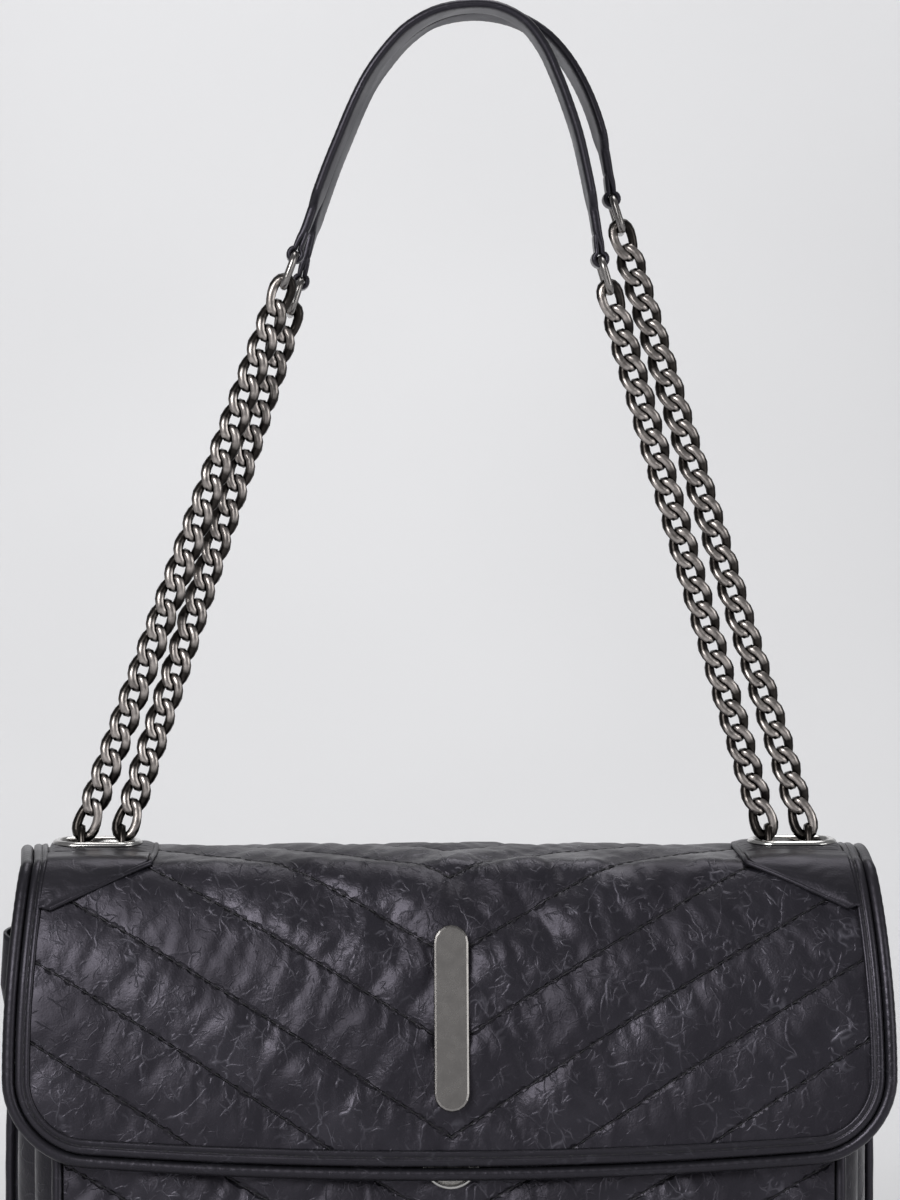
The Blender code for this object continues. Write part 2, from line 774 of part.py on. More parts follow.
def build_puller():
    """Flat puller that hangs from the slider's pin by an eye. Its origin is on the pin."""
    eye_width = SLIDER_EAR_SPACING - 2 * GAP
    puller = cylinder_along_x("zip_puller", PULLER_EYE, eye_width, 0.0, 0.0, 14, zip_metal)
    plate_low = (-eye_width / 2, -PULLER_NECK_LENGTH, -PULLER_THICKNESS / 2)
    plate = box("puller_neck", plate_low, (eye_width / 2, 0.0, PULLER_THICKNESS / 2))
    grip_low = (-PULLER_WIDTH / 2, -PULLER_LENGTH, -PULLER_THICKNESS / 2)
    grip_high = (PULLER_WIDTH / 2, -PULLER_GRIP_START, PULLER_THICKNESS / 2)
    grip = box("puller_grip", grip_low, grip_high)
    bore = cylinder_along_x("puller_bore", SLIDER_PIN_RADIUS + GAP, eye_width * 2, 0.0, 0.0, 14)
    union(puller, as_cutter(plate))
    union(puller, as_cutter(grip))
    cut(puller, as_cutter(bore))
    pin = SLIDER_FRAME @ Matrix.Translation((0.0, 0.0, PULLER_PIN_HEIGHT))
    for thing in (puller, plate, grip, bore):
        thing.matrix_world = pin
    return puller


# Flap


def flap_point(u, v):
    s = v * FLAP_LENGTH
    return flap_surface((2 * u - 1) * flap_edge(s), s)


def spread(v):
    """Rows closer together toward the hem, where the corners turn."""
    return math.sin(v * math.pi / 2) ** HEM_ROW_SPREAD


def flap_lining_point(u, v):
    s = mix(FLAP_LINING_START, FLAP_LENGTH - FLAP_LINING_MARGIN, v)
    inset = FLAP_THICKNESS / 2 + GAP + LINING_THICKNESS / 2
    return flap_surface((2 * u - 1) * flap_edge(s, FLAP_LINING_MARGIN), s, -inset)


def flap_outline(reach):
    """Points round the flap's edge, that far outside it, from the right fold to the left one."""
    right = []
    straight = FLAP_LENGTH - FLAP_CORNER
    for step in range(FLAP_SIDE_ROWS + 1):
        s = mix(2 * FLAP_PIPING_RADIUS, straight, step / FLAP_SIDE_ROWS)
        right.append((flap_half_width(s) + reach, s))
    for step in range(1, FLAP_CORNER_ROWS + 1):
        angle = math.pi / 2 * step / FLAP_CORNER_ROWS
        x = flap_half_width(FLAP_LENGTH) - FLAP_CORNER + (FLAP_CORNER + reach) * math.cos(angle)
        right.append((x, straight + (FLAP_CORNER + reach) * math.sin(angle)))
    hem_x, hem_s = right[-1]
    right += [(hem_x * (1 - step / FLAP_HEM_ROWS), hem_s) for step in range(1, FLAP_HEM_ROWS)]
    left = [(-x, s) for x, s in reversed(right)]
    return right + [(0.0, hem_s)] + left


def flap_patch_point(side):
    """Smooth leather corner that narrows down the side of the flap."""
    def point(u, v):
        s = mix(PATCH_START, PATCH_DROP, v)
        outer = flap_edge(s) - GAP
        length = mix(PATCH_LENGTH, PATCH_TIP, v)
        lift = FLAP_THICKNESS / 2 + GAP + PATCH_THICKNESS / 2
        return flap_surface(side * (outer - length * u), s, lift)
    return point


def patch_piping_points(side):
    lift = FLAP_THICKNESS / 2 + GAP + PATCH_PIPING_RADIUS
    points = []
    for step in range(5):
        share = step / 4
        s = mix(PATCH_START, PATCH_DROP + PATCH_PIPING_RADIUS, share) + PATCH_PIPING_RADIUS
        inner = mix(PATCH_LENGTH, PATCH_TIP, share)
        x = flap_edge(s) - inner - PATCH_PIPING_RADIUS - 2 * GAP
        points.append(flap_surface(side * x, s, lift))
    return points


def build_flap():
    panel = sheet("flap_panel", lambda u, v: flap_point(u, spread(v)), 8, 13, FLAP_THICKNESS, quilt)
    lining = sheet("flap_lining", flap_lining_point, 8, 7, LINING_THICKNESS, lining_cloth)
    outline = flap_outline(FLAP_PIPING_RADIUS + 2 * GAP)
    binding = tube("flap_binding", [flap_surface(x, s) for x, s in outline], FLAP_PIPING_RADIUS, smooth)
    made = [panel, lining, binding]
    for side, label in ((-1, "left"), (1, "right")):
        made.append(sheet(
            f"{label}_flap_patch", flap_patch_point(side), 3, 3, PATCH_THICKNESS, smooth,
        ))
        points = patch_piping_points(side)
        made.append(tube(f"{label}_patch_piping", points, PATCH_PIPING_RADIUS, smooth))
    return made


# Plain bar on the flap


def build_bar(panel, lining):
    """Bevelled bar with round ends, held by two posts through the flap and washers inside."""
    seat = FLAP_THICKNESS / 2 + GAP
    origin, out = normal_of(lambda x, s: flap_surface(x, s, seat), 0.0, BAR_DISTANCE)
    if out.y > 0:
        out = -out
    frame = frame_at(origin, Vector((1, 0, 0)), out)
    outline = bpy.data.curves.new("flap_ornament", "CURVE")
    outline.dimensions = "2D"
    outline.fill_mode = "BOTH"
    outline.extrude = BAR_THICKNESS / 2 - BAR_BEVEL
    outline.bevel_depth = BAR_BEVEL
    outline.bevel_resolution = 1
    outline.offset = -BAR_BEVEL
    spline = outline.splines.new("POLY")
    corners = []
    radius = BAR_WIDTH / 2
    for step in range(9):
        angle = math.pi * step / 8
        corners.append((radius * math.cos(angle), BAR_LENGTH / 2 - radius + radius * math.sin(angle)))
    corners += [(-x, -y) for x, y in corners]
    spline.points.add(len(corners) - 1)
    for control, (x, y) in zip(spline.points, corners):
        control.co = (x, y, 0.0, 1.0)
    spline.use_cyclic_u = True
    blank = add_object("bar_blank", outline)
    mesh = evaluated_mesh(blank)
    bpy.data.objects.remove(blank)
    bm = bmesh.new()
    bm.from_mesh(mesh)
    bmesh.ops.remove_doubles(bm, verts=bm.verts, dist=0.00001)
    bmesh.ops.translate(bm, verts=bm.verts, vec=(0.0, 0.0, BAR_THICKNESS / 2))
    bar = bm_object("flap_ornament", bm, gunmetal)
    bar.matrix_world = frame
    made = [bar]
    depth = seat + FLAP_THICKNESS / 2 + 2 * GAP + LINING_THICKNESS
    for sign, label in ((1, "upper"), (-1, "lower")):
        y = sign * BAR_POST_SPACING / 2
        distance = BAR_DISTANCE - y
        inner = (frame.inverted() @ flap_surface(0.0, distance, -depth + seat)).z
        washer_top = inner - 2 * GAP
        tail = washer_top - BAR_WASHER_THICKNESS - BAR_POST_TAIL
        post = round_plate(f"{label}_bar_post", BAR_POST_RADIUS, tail, BAR_BEVEL, 12, frame, y)
        union(bar, as_cutter(post))
        bore = round_plate(
            f"{label}_bar_bore", BAR_POST_RADIUS + GAP, tail - BAR_THICKNESS, BAR_THICKNESS, 12, frame, y,
        )
        as_cutter(bore)
        washer = round_plate(
            f"{label}_ornament_washer", BAR_WASHER_RADIUS, washer_top - BAR_WASHER_THICKNESS, washer_top,
            12, frame, y, gunmetal,
        )
        for thing in (panel, lining, washer):
            cut(thing, bore)
        made.append(washer)
    return made


def round_plate(name, radius, low, high, segments, frame, y=0.0, material=None):
    """Disc, post or bore along the frame's Z axis between two heights."""
    bm = bmesh.new()
    bmesh.ops.create_cone(
        bm, cap_ends=True, segments=segments, radius1=radius, radius2=radius, depth=high - low,
    )
    bmesh.ops.translate(bm, verts=bm.verts, vec=(0.0, y, (low + high) / 2))
    thing = bm_object(name, bm, material, parts if material else cutters)
    thing.matrix_world = frame
    return thing


# Magnetic snap


def build_snap():
    """Socket on the front panel and, on the flap, the stud whose pin sits in the socket."""
    origin, out = normal_of(front_surface, 0.0, SNAP_HEIGHT)
    if out.y > 0:
        out = -out
    frame = frame_at(origin, Vector((1, 0, 0)), out)
    seat = QUILT_THICKNESS / 2 + GAP
    face = seat + SNAP_SOCKET_THICKNESS
    socket = round_plate("snap_socket", SNAP_SOCKET_RADIUS, seat, face, 28, frame, 0.0, eyelet_metal)
    bore_floor = face - SNAP_PIN_LENGTH - GAP
    bore = round_plate("snap_bore", SNAP_SOCKET_BORE, bore_floor, face + SNAP_SOCKET_RADIUS, 16, frame)
    cut(socket, as_cutter(bore))
    stud_face = face + GAP
    back = stud_face + SNAP_STUD_THICKNESS
    stud = round_plate("snap_stud", SNAP_STUD_RADIUS, stud_face, back, 24, frame, 0.0, eyelet_metal)
    pin = round_plate("snap_pin", SNAP_PIN_RADIUS, face - SNAP_PIN_LENGTH, back - SNAP_BEVEL, 12, frame)
    union(stud, as_cutter(pin))
    return socket, stud


# Chain


SQUARE_WIRE = ((-1, -1), (1, -1), (1, 1), (-1, 1))
WEDGE_WIRE = ((-1, -1), (1, 0), (-1, 1))


def link_mesh(length, tip, width, shoulder, section, start, end):
    """Closed link of square or wedge wire along +Z, with straight tips, twisted from start to end."""
    wire = CHAIN_WIRE
    right = [(tip / 2, 0.0), (width / 2, shoulder), (width / 2, length - shoulder), (tip / 2, length)]
    if shoulder * 2 >= length:
        right = [(tip / 2, 0.0), (width / 2, length / 2), (tip / 2, length)]
    outline = right + [(-u, s) for u, s in reversed(right)]
    bm = bmesh.new()
    rings = []
    for index, (u, s) in enumerate(outline):
        before = Vector(outline[index - 1])
        here = Vector((u, s))
        after = Vector(outline[(index + 1) % len(outline)])
        arriving = (here - before).normalized()
        leaving = (after - here).normalized()
        outward = Vector((arriving.y + leaving.y, -arriving.x - leaving.x)).normalized()
        mitre = wire / 2 / outward.dot(Vector((arriving.y, -arriving.x)))
        turn = Matrix.Rotation(math.radians(mix(start, end, s / length)), 3, "Z")
        ring = []
        for across, side in section:
            corner = Vector((u + outward.x * across * mitre, side * wire / 2, s + outward.y * across * mitre))
            ring.append(bm.verts.new(turn @ corner))
        rings.append(ring)
    for first, second in zip(rings, rings[1:] + rings[:1]):
        for corner in range(len(section)):
            after = (corner + 1) % len(section)
            bm.faces.new((first[corner], first[after], second[after], second[corner]))
    bmesh.ops.recalc_face_normals(bm, faces=bm.faces)
    mesh = bpy.data.meshes.new("link")
    bm.to_mesh(mesh)
    bm.free()
    return mesh


def chain_link(length, start, end, section=SQUARE_WIRE):
    return link_mesh(length, LINK_TIP, LINK_WIDTH, length / 2, section, start, end)


def link_frame(origin, axis):
    """Frame with Z along the chain and Y as near to the bag's depth as it goes."""
    side = Vector((0, 1, 0)).cross(axis)
    return frame_at(origin, side, axis)


def fuse_links(name, links):
    """One body from links whose tips touch: every other link, united with those between."""
    halves = []
    for first in (0, 1):
        bm = bmesh.new()
        for mesh, frame in links[first::2]:
            mesh.transform(frame)
            bm.from_mesh(mesh)
        collection = parts if first == 0 else cutters
        label = name if first == 0 else f"{name}_between"
        halves.append(bm_object(label, bm, gunmetal if first == 0 else None, collection))
    as_cutter(halves[1])
    union(halves[0], halves[1])
    return halves[0]


LINK_OVERLAP = CHAIN_WIRE - CHAIN_FUSE
LINK_LENGTH = CHAIN_PITCH + LINK_OVERLAP
PIVOT_Z = EYELET_SEAT + PIVOT_HEIGHT
# Square wire turns in the pivot, so its corner sets how far above it the inner link's tip lies
PIVOT_RISE = CHAIN_WIRE * math.sqrt(0.5) + GAP + CHAIN_WIRE / 2


def pivot(side, outer):
    """Where a run hangs in its eyelet; the strap pulls both runs toward the eyelet's inner end."""
    offset = RUN_SPACING / 2 if outer else -RUN_SPACING / 2
    return Vector((side * (EYELET_X - RUN_SHIFT + offset), EYELET_Y, PIVOT_Z))


def outer_run(name, anchor, foot):
    """End link on the strap's fold at anchor, and the chain from it down to the pivot at foot."""
    last_top = foot + Vector((0, 0, LINK_LENGTH))
    axis = (last_top - anchor).normalized()
    tip = NECK_WIDTH + 2 * END_LINK_EASE
    width = tip + 2 * END_LINK_BOW
    end_mesh = link_mesh(END_LINK_LENGTH, tip, width, END_LINK_SHOULDER, SQUARE_WIRE, 90, 90)
    end_link = add_object(f"{name}_end_link", end_mesh, gunmetal)
    end_link.matrix_world = link_frame(anchor, axis)
    start = anchor + axis * (END_LINK_LENGTH - CHAIN_WIRE - GAP)
    distance = (last_top - start).length
    count = round(distance / CHAIN_PITCH)
    pitch = distance / count
    links = []
    for index in range(count):
        first = 0 if index == 0 else -45
        last = -90 if index == count - 1 else 45
        mesh = chain_link(pitch + LINK_OVERLAP, first, last)
        links.append((mesh, link_frame(start + axis * (pitch * index), axis)))
    links.append((chain_link(LINK_LENGTH, 0, 0), link_frame(last_top, Vector((0, 0, -1)))))
    return [end_link, fuse_links(f"{name}_chain", links)]


def inner_run(name, outer, height):
    """Chain under the top panel, with one long link up through each eyelet."""
    left, right = pivot(-1, outer), pivot(1, outer)
    top = PIVOT_Z + PIVOT_RISE
    down = Vector((0, 0, -1))
    across = Vector((1, 0, 0))
    start = left.x - LINK_OVERLAP
    count = round((right.x - left.x + LINK_OVERLAP) / CHAIN_PITCH)
    pitch = (right.x - left.x + LINK_OVERLAP) / count
    long_link = link_mesh(top - height, LINK_TIP, LINK_WIDTH, LONG_LINK_SHOULDER, WEDGE_WIRE, 90, 90)
    links = [(long_link.copy(), link_frame(Vector((left.x, left.y, top)), down))]
    for index in range(count):
        first = 0 if index == 0 else 45
        last = -45 if index == 0 else 135
        if index == count - 1:
            last = 0
        mesh = chain_link(pitch + LINK_OVERLAP, first, last, WEDGE_WIRE)
        links.append((mesh, link_frame(Vector((start + pitch * index, left.y, height)), across)))
    links.append((long_link, link_frame(Vector((right.x, right.y, top)), down)))
    return fuse_links(name, links)


# Shoulder straps


def strap_leg(side, reach, drop, curve, y):
    """One side of the arch from the crown down to the fold, and the fold's centre."""
    points = []
    for step in range(ARCH_SAMPLES + 1):
        share = (step / ARCH_SAMPLES) ** ARCH_CROWDING
        x = CROWN_X + side * reach * share
        points.append(Vector((x, y, CROWN_HEIGHT - drop * share ** curve)))
    total = sum((b - a).length for a, b in zip(points, points[1:]))
    fine = resample(points, ARCH_SAMPLES + 1)
    kept = fine[:1 + int(ARCH_SAMPLES * (total - NECK_LENGTH) / total)]
    leg = resample(kept, ARCH_ROWS + 1)
    along = (leg[-1] - leg[-2]).normalized()
    return leg, leg[-1] + along * NECK_LENGTH, along


FOLD_RADIUS = CHAIN_WIRE * math.sqrt(0.5) + GAP + NECK_THICKNESS / 2
NECK_OFFSET = (NECK_THICKNESS + GAP) / 2


def neck_points(anchor, along, side):
    """Path of the strap's narrow end: down beside the link, round it and back up inside."""
    outward = Vector((0, 1, 0)).cross(along) * (-side)
    if outward.x * side < 0:
        outward = -outward
    rows = [(NECK_OFFSET, NECK_START), (NECK_OFFSET, FOLD_RADIUS * 2)]
    for step in range(FOLD_STEPS + 1):
        angle = math.radians(mix(FOLD_START_ANGLE, -180 - FOLD_START_ANGLE, step / FOLD_STEPS))
        rows.append((FOLD_RADIUS * math.cos(angle), FOLD_RADIUS * math.sin(angle)))
    rows += [(-NECK_OFFSET, FOLD_RADIUS * 2), (-NECK_OFFSET, NECK_TAIL)]
    return [anchor + outward * u - along * v for u, v in rows]


def shoulder_strap(name, y, left, right):
    """Leather band over the crown, with a narrow end folded round the end link on each side."""
    left_leg, left_anchor, left_along = strap_leg(-1, *left, y)
    right_leg, right_anchor, right_along = strap_leg(1, *right, y)
    band = list(reversed(left_leg)) + right_leg[1:]
    left_neck = list(reversed(neck_points(left_anchor, left_along, -1)))
    right_neck = neck_points(right_anchor, right_along, 1)
    path = left_neck + band + right_neck
    first, last = len(left_neck), len(left_neck) + len(band) - 1
    bm = bmesh.new()
    weights = []
    rows = []
    for index, point in enumerate(path):
        full = first <= index <= last
        half = (STRAP_WIDTH if full else NECK_WIDTH) / 2
        rows.append([bm.verts.new(point + Vector((0, sign * half, 0))) for sign in (-1, 1)])
        weights += [1.0 if full else 0.0] * 2
    for before, after in zip(rows, rows[1:]):
        bm.faces.new((before[0], before[1], after[1], after[0]))
    strap = bm_object(name, bm, strap_leather)
    strap.data.shade_smooth()
    group = strap.vertex_groups.new(name="Full thickness")
    for index, weight in enumerate(weights):
        group.add([index], weight, "REPLACE")
    solid = strap.modifiers.new("Thickness", "SOLIDIFY")
    solid.thickness = STRAP_THICKNESS
    solid.offset = 0.0
    solid.vertex_group = group.name
    solid.thickness_vertex_group = NECK_THICKNESS / STRAP_THICKNESS
    return strap, left_anchor, right_anchor


def build_strap():
    made = []
    sets = (
        ("front", -STRAP_SPACING / 2,
         (FRONT_LEFT_REACH, FRONT_LEFT_DROP, FRONT_LEFT_CURVE),
         (FRONT_RIGHT_REACH, FRONT_RIGHT_DROP, FRONT_RIGHT_CURVE), True, False),
        ("rear", STRAP_SPACING / 2,
         (REAR_LEFT_REACH, REAR_LEFT_DROP, REAR_LEFT_CURVE),
         (REAR_RIGHT_REACH, REAR_RIGHT_DROP, REAR_RIGHT_CURVE), False, True),
    )
    for label, y, left, right, left_outer, right_outer in sets:
        strap, left_anchor, right_anchor = shoulder_strap(f"{label}_shoulder_strap", y, left, right)
        made.append(strap)
        made += outer_run(f"{label}_left", left_anchor, pivot(-1, left_outer))
        made += outer_run(f"{label}_right", right_anchor, pivot(1, right_outer))
    return made


# Assembly


def axis_empty(name, position, parent=None, offset=Vector((0, 0, 0))):
    """Empty at a joint's axis, given in the bag's own frame."""
    empty = bpy.data.objects.new(name, None)
    parts.objects.link(empty)
    empty.parent = parent
    empty.location = position - offset
    return empty


def hang(things, empty, position):
    """Parent things, modelled in the bag's own frame, to the empty at that position."""
    for thing in things:
        matrix = thing.matrix_world.copy()
        thing.parent = empty
        thing.matrix_parent_inverse = Matrix.Identity(4)
        thing.matrix_basis = Matrix.Translation(-position) @ matrix


def main():
    for thing in list(bpy.data.objects):
        bpy.data.objects.remove(thing)
    for collection in (parts, cutters):
        bpy.context.scene.collection.children.link(collection)

    body = build_base() + build_walls() + build_wall_piping() + build_top() + build_linings()
    body += build_zip_track()
    upper_height = WASHER_TOP - WASHER_THICKNESS - GAP - (LINK_WIDTH + CHAIN_WIRE) / 2 - GAP
    body.append(inner_run("upper_inner_chain", False, upper_height))
    body.append(inner_run("lower_inner_chain", True, upper_height - INNER_RUN_STEP))
    flap = build_flap()
    flap += build_bar(flap[0], flap[1])
    socket, stud = build_snap()
    body.append(socket)
    flap.append(stud)
    slider = build_slider()
    puller = build_puller()
    strap = build_strap()

    origin_height = CROWN_HEIGHT - STRAP_THICKNESS / 2
    crown = axis_empty("strap_crown_reference", Vector((0, 0, -origin_height)))
    swing = Vector((0.0, EYELET_Y, PIVOT_Z))
    body_axis = axis_empty("bag_swing_axis", swing, crown)
    flap_axis = axis_empty("flap_hinge_axis", HINGE, body_axis, swing)
    slide = SLIDER_FRAME @ Vector((0.0, 0.0, SLIDER_BACK))
    slide_axis = axis_empty("zip_slide_axis", slide, body_axis, swing)
    pin = SLIDER_FRAME @ Vector((0.0, 0.0, PULLER_PIN_HEIGHT))
    pull_axis = axis_empty("zip_pull_axis", pin, slide_axis, slide)
    bpy.context.view_layer.update()
    hang(strap, crown, Vector((0, 0, 0)))
    hang(body, body_axis, swing)
    hang(flap, flap_axis, HINGE)
    hang([slider], slide_axis, slide)
    hang([puller], pull_axis, pin)
    hang(list(cutters.objects), crown, Vector((0, 0, 0)))
    bpy.context.view_layer.update()


main()
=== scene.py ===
"""A chevron-quilted black leather flap bag on a doubled chain-and-leather strap.

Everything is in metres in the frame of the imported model: +Z is up, the flap faces -Y, and the
origin lies under the crown of the strap. The sections follow the bag as it is put together.
"""

import math

import bmesh
import bpy
import numpy as np
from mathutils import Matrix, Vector


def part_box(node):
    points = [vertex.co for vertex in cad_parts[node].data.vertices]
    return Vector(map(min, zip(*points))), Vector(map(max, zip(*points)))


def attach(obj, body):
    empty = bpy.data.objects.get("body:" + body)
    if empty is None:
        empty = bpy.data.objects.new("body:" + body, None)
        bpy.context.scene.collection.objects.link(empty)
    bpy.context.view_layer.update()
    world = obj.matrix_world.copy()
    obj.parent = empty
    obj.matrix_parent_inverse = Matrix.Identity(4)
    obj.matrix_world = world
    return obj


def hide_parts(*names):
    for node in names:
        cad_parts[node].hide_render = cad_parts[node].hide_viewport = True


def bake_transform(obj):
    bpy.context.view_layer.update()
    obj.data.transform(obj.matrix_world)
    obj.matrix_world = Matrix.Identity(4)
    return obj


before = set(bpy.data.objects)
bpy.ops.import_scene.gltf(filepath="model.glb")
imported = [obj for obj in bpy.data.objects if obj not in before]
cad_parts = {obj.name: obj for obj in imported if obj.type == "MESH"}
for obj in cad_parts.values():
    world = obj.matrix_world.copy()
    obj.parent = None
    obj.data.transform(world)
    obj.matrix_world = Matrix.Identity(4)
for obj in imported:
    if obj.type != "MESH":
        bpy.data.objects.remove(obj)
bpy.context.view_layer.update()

scene = bpy.context.scene

# Base
# A plate of smooth leather over a stiff board, which carries the four walls.
# The leather is turned over at the rim, and the board lies loose inside under the lining.

SIDES = ((-1, "left"), (1, "right"))
BASE_Z = -0.4675
BAG_HEIGHT = 0.198
MOUTH_HEIGHT = 0.160
BASE_DEPTH = 0.076
DEPTH_LOSS = 0.024
DEPTH_BOW = 0.003
FRONT_WIDTH = 0.240
FRONT_FLARE = 0.002
BACK_WIDTH = 0.268
BACK_TAPER = 0.006
BACK_BULGE = 0.006
BASE_CORNER = 0.006
BASE_RIM = 0.0015
CORNER_POINTS = 9


def half_depth(z):
    """Half of the body's depth at a height above the base, to the middle of the leather."""
    share = np.clip(z, 0.0, None) / BAG_HEIGHT
    bow = DEPTH_BOW * np.sin(np.pi * np.minimum(share, 1.0))
    return (BASE_DEPTH - DEPTH_LOSS * share ** 1.6) / 2 + bow


def front_half_width(z):
    return (FRONT_WIDTH + FRONT_FLARE * z / MOUTH_HEIGHT) / 2


def back_half_width(z):
    share = np.clip(z / BAG_HEIGHT, 0.0, 1.0)
    return (BACK_WIDTH - BACK_TAPER * share) / 2 + BACK_BULGE * np.sin(np.pi * share)


def values_of(rows, name, width, kind=float):
    """Array of one attribute of a mesh's points, corners or faces."""
    values = np.empty(len(rows) * width, kind)
    rows.foreach_get(name, values)
    return values.reshape(-1, width)


def make_piece(name, points, faces, material=None, flat=None, edges=()):
    """Mesh object from arrays. flat gives each point its place on the unsewn leather."""
    mesh = bpy.data.meshes.new(name)
    mesh.from_pydata(
        np.asarray(points, float).tolist(), edges, [list(map(int, face)) for face in faces])
    if material:
        mesh.materials.append(material)
    if flat is not None:
        corners = values_of(mesh.loops, "vertex_index", 1, int)[:, 0]
        layer = mesh.uv_layers.new(name="Flat")
        layer.data.foreach_set("uv", np.asarray(flat, float)[corners].ravel())
    mesh.shade_smooth()
    piece = bpy.data.objects.new(name, mesh)
    scene.collection.objects.link(piece)
    return piece


def tube_faces(rings, size, closed=False):
    """Quads between rings of points, and a cap at each end of an open row."""
    last = rings if closed else rings - 1
    ring, spot = np.meshgrid(np.arange(last), np.arange(size), indexing="ij")
    here, after, step = ring * size, (ring + 1) % rings * size, (spot + 1) % size
    faces = np.stack([here + spot, here + step, after + step, after + spot], -1)
    faces = faces.reshape(-1, 4).tolist()
    if not closed:
        faces.append(list(range(size))[::-1])
        faces.append(list(range((rings - 1) * size, rings * size)))
    return faces


def face_outward(piece):
    """Turns every face of a closed piece outward."""
    bm = bmesh.new()
    bm.from_mesh(piece.data)
    bmesh.ops.recalc_face_normals(bm, faces=bm.faces)
    bm.to_mesh(piece.data)
    bm.free()
    return piece


def fit(piece, body, node=None):
    """Lets a piece ride a body in place of a plain solid; given a tuple of bodies, it only keeps
    the piece where it stands.
    """
    if isinstance(body, str):
        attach(piece, body)
    else:
        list(body)
        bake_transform(piece)
    if node:
        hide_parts(node)


def recoat(node, material):
    """Gives a carried-over solid its finish."""
    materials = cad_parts[node].data.materials
    materials.clear()
    materials.append(material)


def fill(tree, node, inputs):
    """Gives a node's sockets, by name or number, a value or another node's output."""
    for key, value in dict(inputs).items():
        socket = node.inputs[key]
        if isinstance(value, bpy.types.NodeSocket):
            tree.links.new(value, socket)
        else:
            socket.default_value = (*value, 1.0) if socket.type == "RGBA" else value
    return node


def add(tree, kind, inputs=(), **settings):
    node = tree.nodes.new(kind)
    for key, value in settings.items():
        setattr(node, key, value)
    return fill(tree, node, inputs)


def start_material(name, coordinate="Object"):
    """New material, its node tree, and the coordinates that its pattern follows."""
    material = bpy.data.materials.new(name)
    material.use_nodes = True
    tree = material.node_tree
    return material, tree, add(tree, "ShaderNodeTexCoord").outputs[coordinate]


def surface(tree, inputs):
    fill(tree, tree.nodes["Principled BSDF"], inputs)


def ramp(tree, value, *stops):
    """Colour along a value, between two stops of (position, colour or grey level)."""
    node = add(tree, "ShaderNodeValToRGB", {"Fac": value})
    for element, (position, colour) in zip(node.color_ramp.elements, stops):
        element.position = position
        element.color = (*(colour if isinstance(colour, tuple) else (colour,) * 3), 1.0)
    return node.outputs["Color"]


def maths(tree, operation, *values):
    return add(tree, "ShaderNodeMath", enumerate(values), operation=operation).outputs[0]


def ranged(tree, value, low, high, start=0.0, end=1.0):
    """Where a value lies between low and high, as a number from start to end."""
    inputs = {"Value": value, "From Min": low, "From Max": high, "To Min": start, "To Max": end}
    return add(tree, "ShaderNodeMapRange", inputs).outputs["Result"]


def noise(tree, where, scale, detail=2.0, roughness=0.5, output="Fac"):
    inputs = {"Vector": where, "Scale": scale, "Detail": detail, "Roughness": roughness}
    return add(tree, "ShaderNodeTexNoise", inputs).outputs[output]


def bump(tree, height, strength, distance, normal=None):
    inputs = {"Height": height, "Strength": strength, "Distance": distance}
    if normal:
        inputs["Normal"] = normal
    return add(tree, "ShaderNodeBump", inputs).outputs["Normal"]


def mix(tree, share, first, second, blend="MIX"):
    inputs = {"Factor": share, "A": first, "B": second}
    return add(tree, "ShaderNodeMix", inputs, data_type="RGBA", blend_type=blend).outputs["Result"]


def crease_lines(tree, where, scale, angle, stretch, width, cover):
    """Short broken lines that lie mostly along one direction, 1 on a line and 0 off it."""
    turned = add(tree, "ShaderNodeMapping", {
        "Vector": where, "Location": (angle * 0.013, angle * 0.029, angle * 0.017),
        "Rotation": (0.0, 0.0, math.radians(angle))}).outputs[0]
    bent = add(tree, "ShaderNodeVectorMath", {
        0: noise(tree, turned, scale * 0.8, output="Color"), 1: (0.8 / scale,) * 3, 2: turned},
        operation="MULTIPLY_ADD").outputs[0]
    long = add(tree, "ShaderNodeVectorMath", {
        0: bent, 1: (stretch, 1.0, 1.0)}, operation="MULTIPLY").outputs[0]
    cells = add(tree, "ShaderNodeTexVoronoi", {
        "Vector": long, "Scale": scale}, feature="DISTANCE_TO_EDGE")
    line = ramp(tree, cells.outputs["Distance"], (0.0, 1.0), (width, 0.0))
    kept = ramp(tree, noise(tree, turned, scale * 0.9, 1.0),
                (0.62 - cover * 0.3, 0.0), (0.74 - cover * 0.3, 1.0))
    return maths(tree, "MULTIPLY", line, kept)


def leather(name, coordinate, deep, pale, layers, patch_scale, depth, rough, quilted=False):
    """Glazed calf: pores, soft relief, and broken creases that shine paler where it is worn.

    Each layer of creases is (scale, direction in degrees, stretch, width, cover).
    """
    material, tree, where = start_material(name, coordinate)
    crease = crease_lines(tree, where, *layers[0])
    for layer in layers[1:]:
        crease = maths(tree, "MAXIMUM", crease, crease_lines(tree, where, *layer))
    patches = noise(tree, where, patch_scale, 3.0, 0.6)
    worn = ramp(tree, patches, (0.42, 0.18), (0.62, 1.0))
    middle = tuple(d * 0.82 + p * 0.18 for d, p in zip(deep, pale))
    mottle = ramp(tree, patches, (0.42, deep), (0.68, middle))
    colour = mix(tree, maths(tree, "MULTIPLY", crease, worn), mottle, pale)

    pores = add(tree, "ShaderNodeTexVoronoi", {"Vector": where, "Scale": 1400.0})
    relief = noise(tree, where, patch_scale * 3.2, 5.0, 0.60)
    if quilted:
        relief = maths(tree, "MULTIPLY", relief, calmer_sides(tree, where))
    normal = bump(tree, pores.outputs["Distance"], 0.5, 0.00005)
    normal = bump(tree, relief, 1.0, depth * 4.0, normal)
    normal = bump(tree, crease, 1.0, depth * 0.8, normal)
    if quilted:
        colour, normal = shaded_seam_grooves(tree, where, colour, normal)
    surface(tree, {
        "Specular Tint": (0.90, 0.84, 1.0), "Base Color": colour, "Normal": normal,
        "Roughness": ramp(tree, patches, (0.35, rough + 0.14), (0.65, rough - 0.04))})
    return material


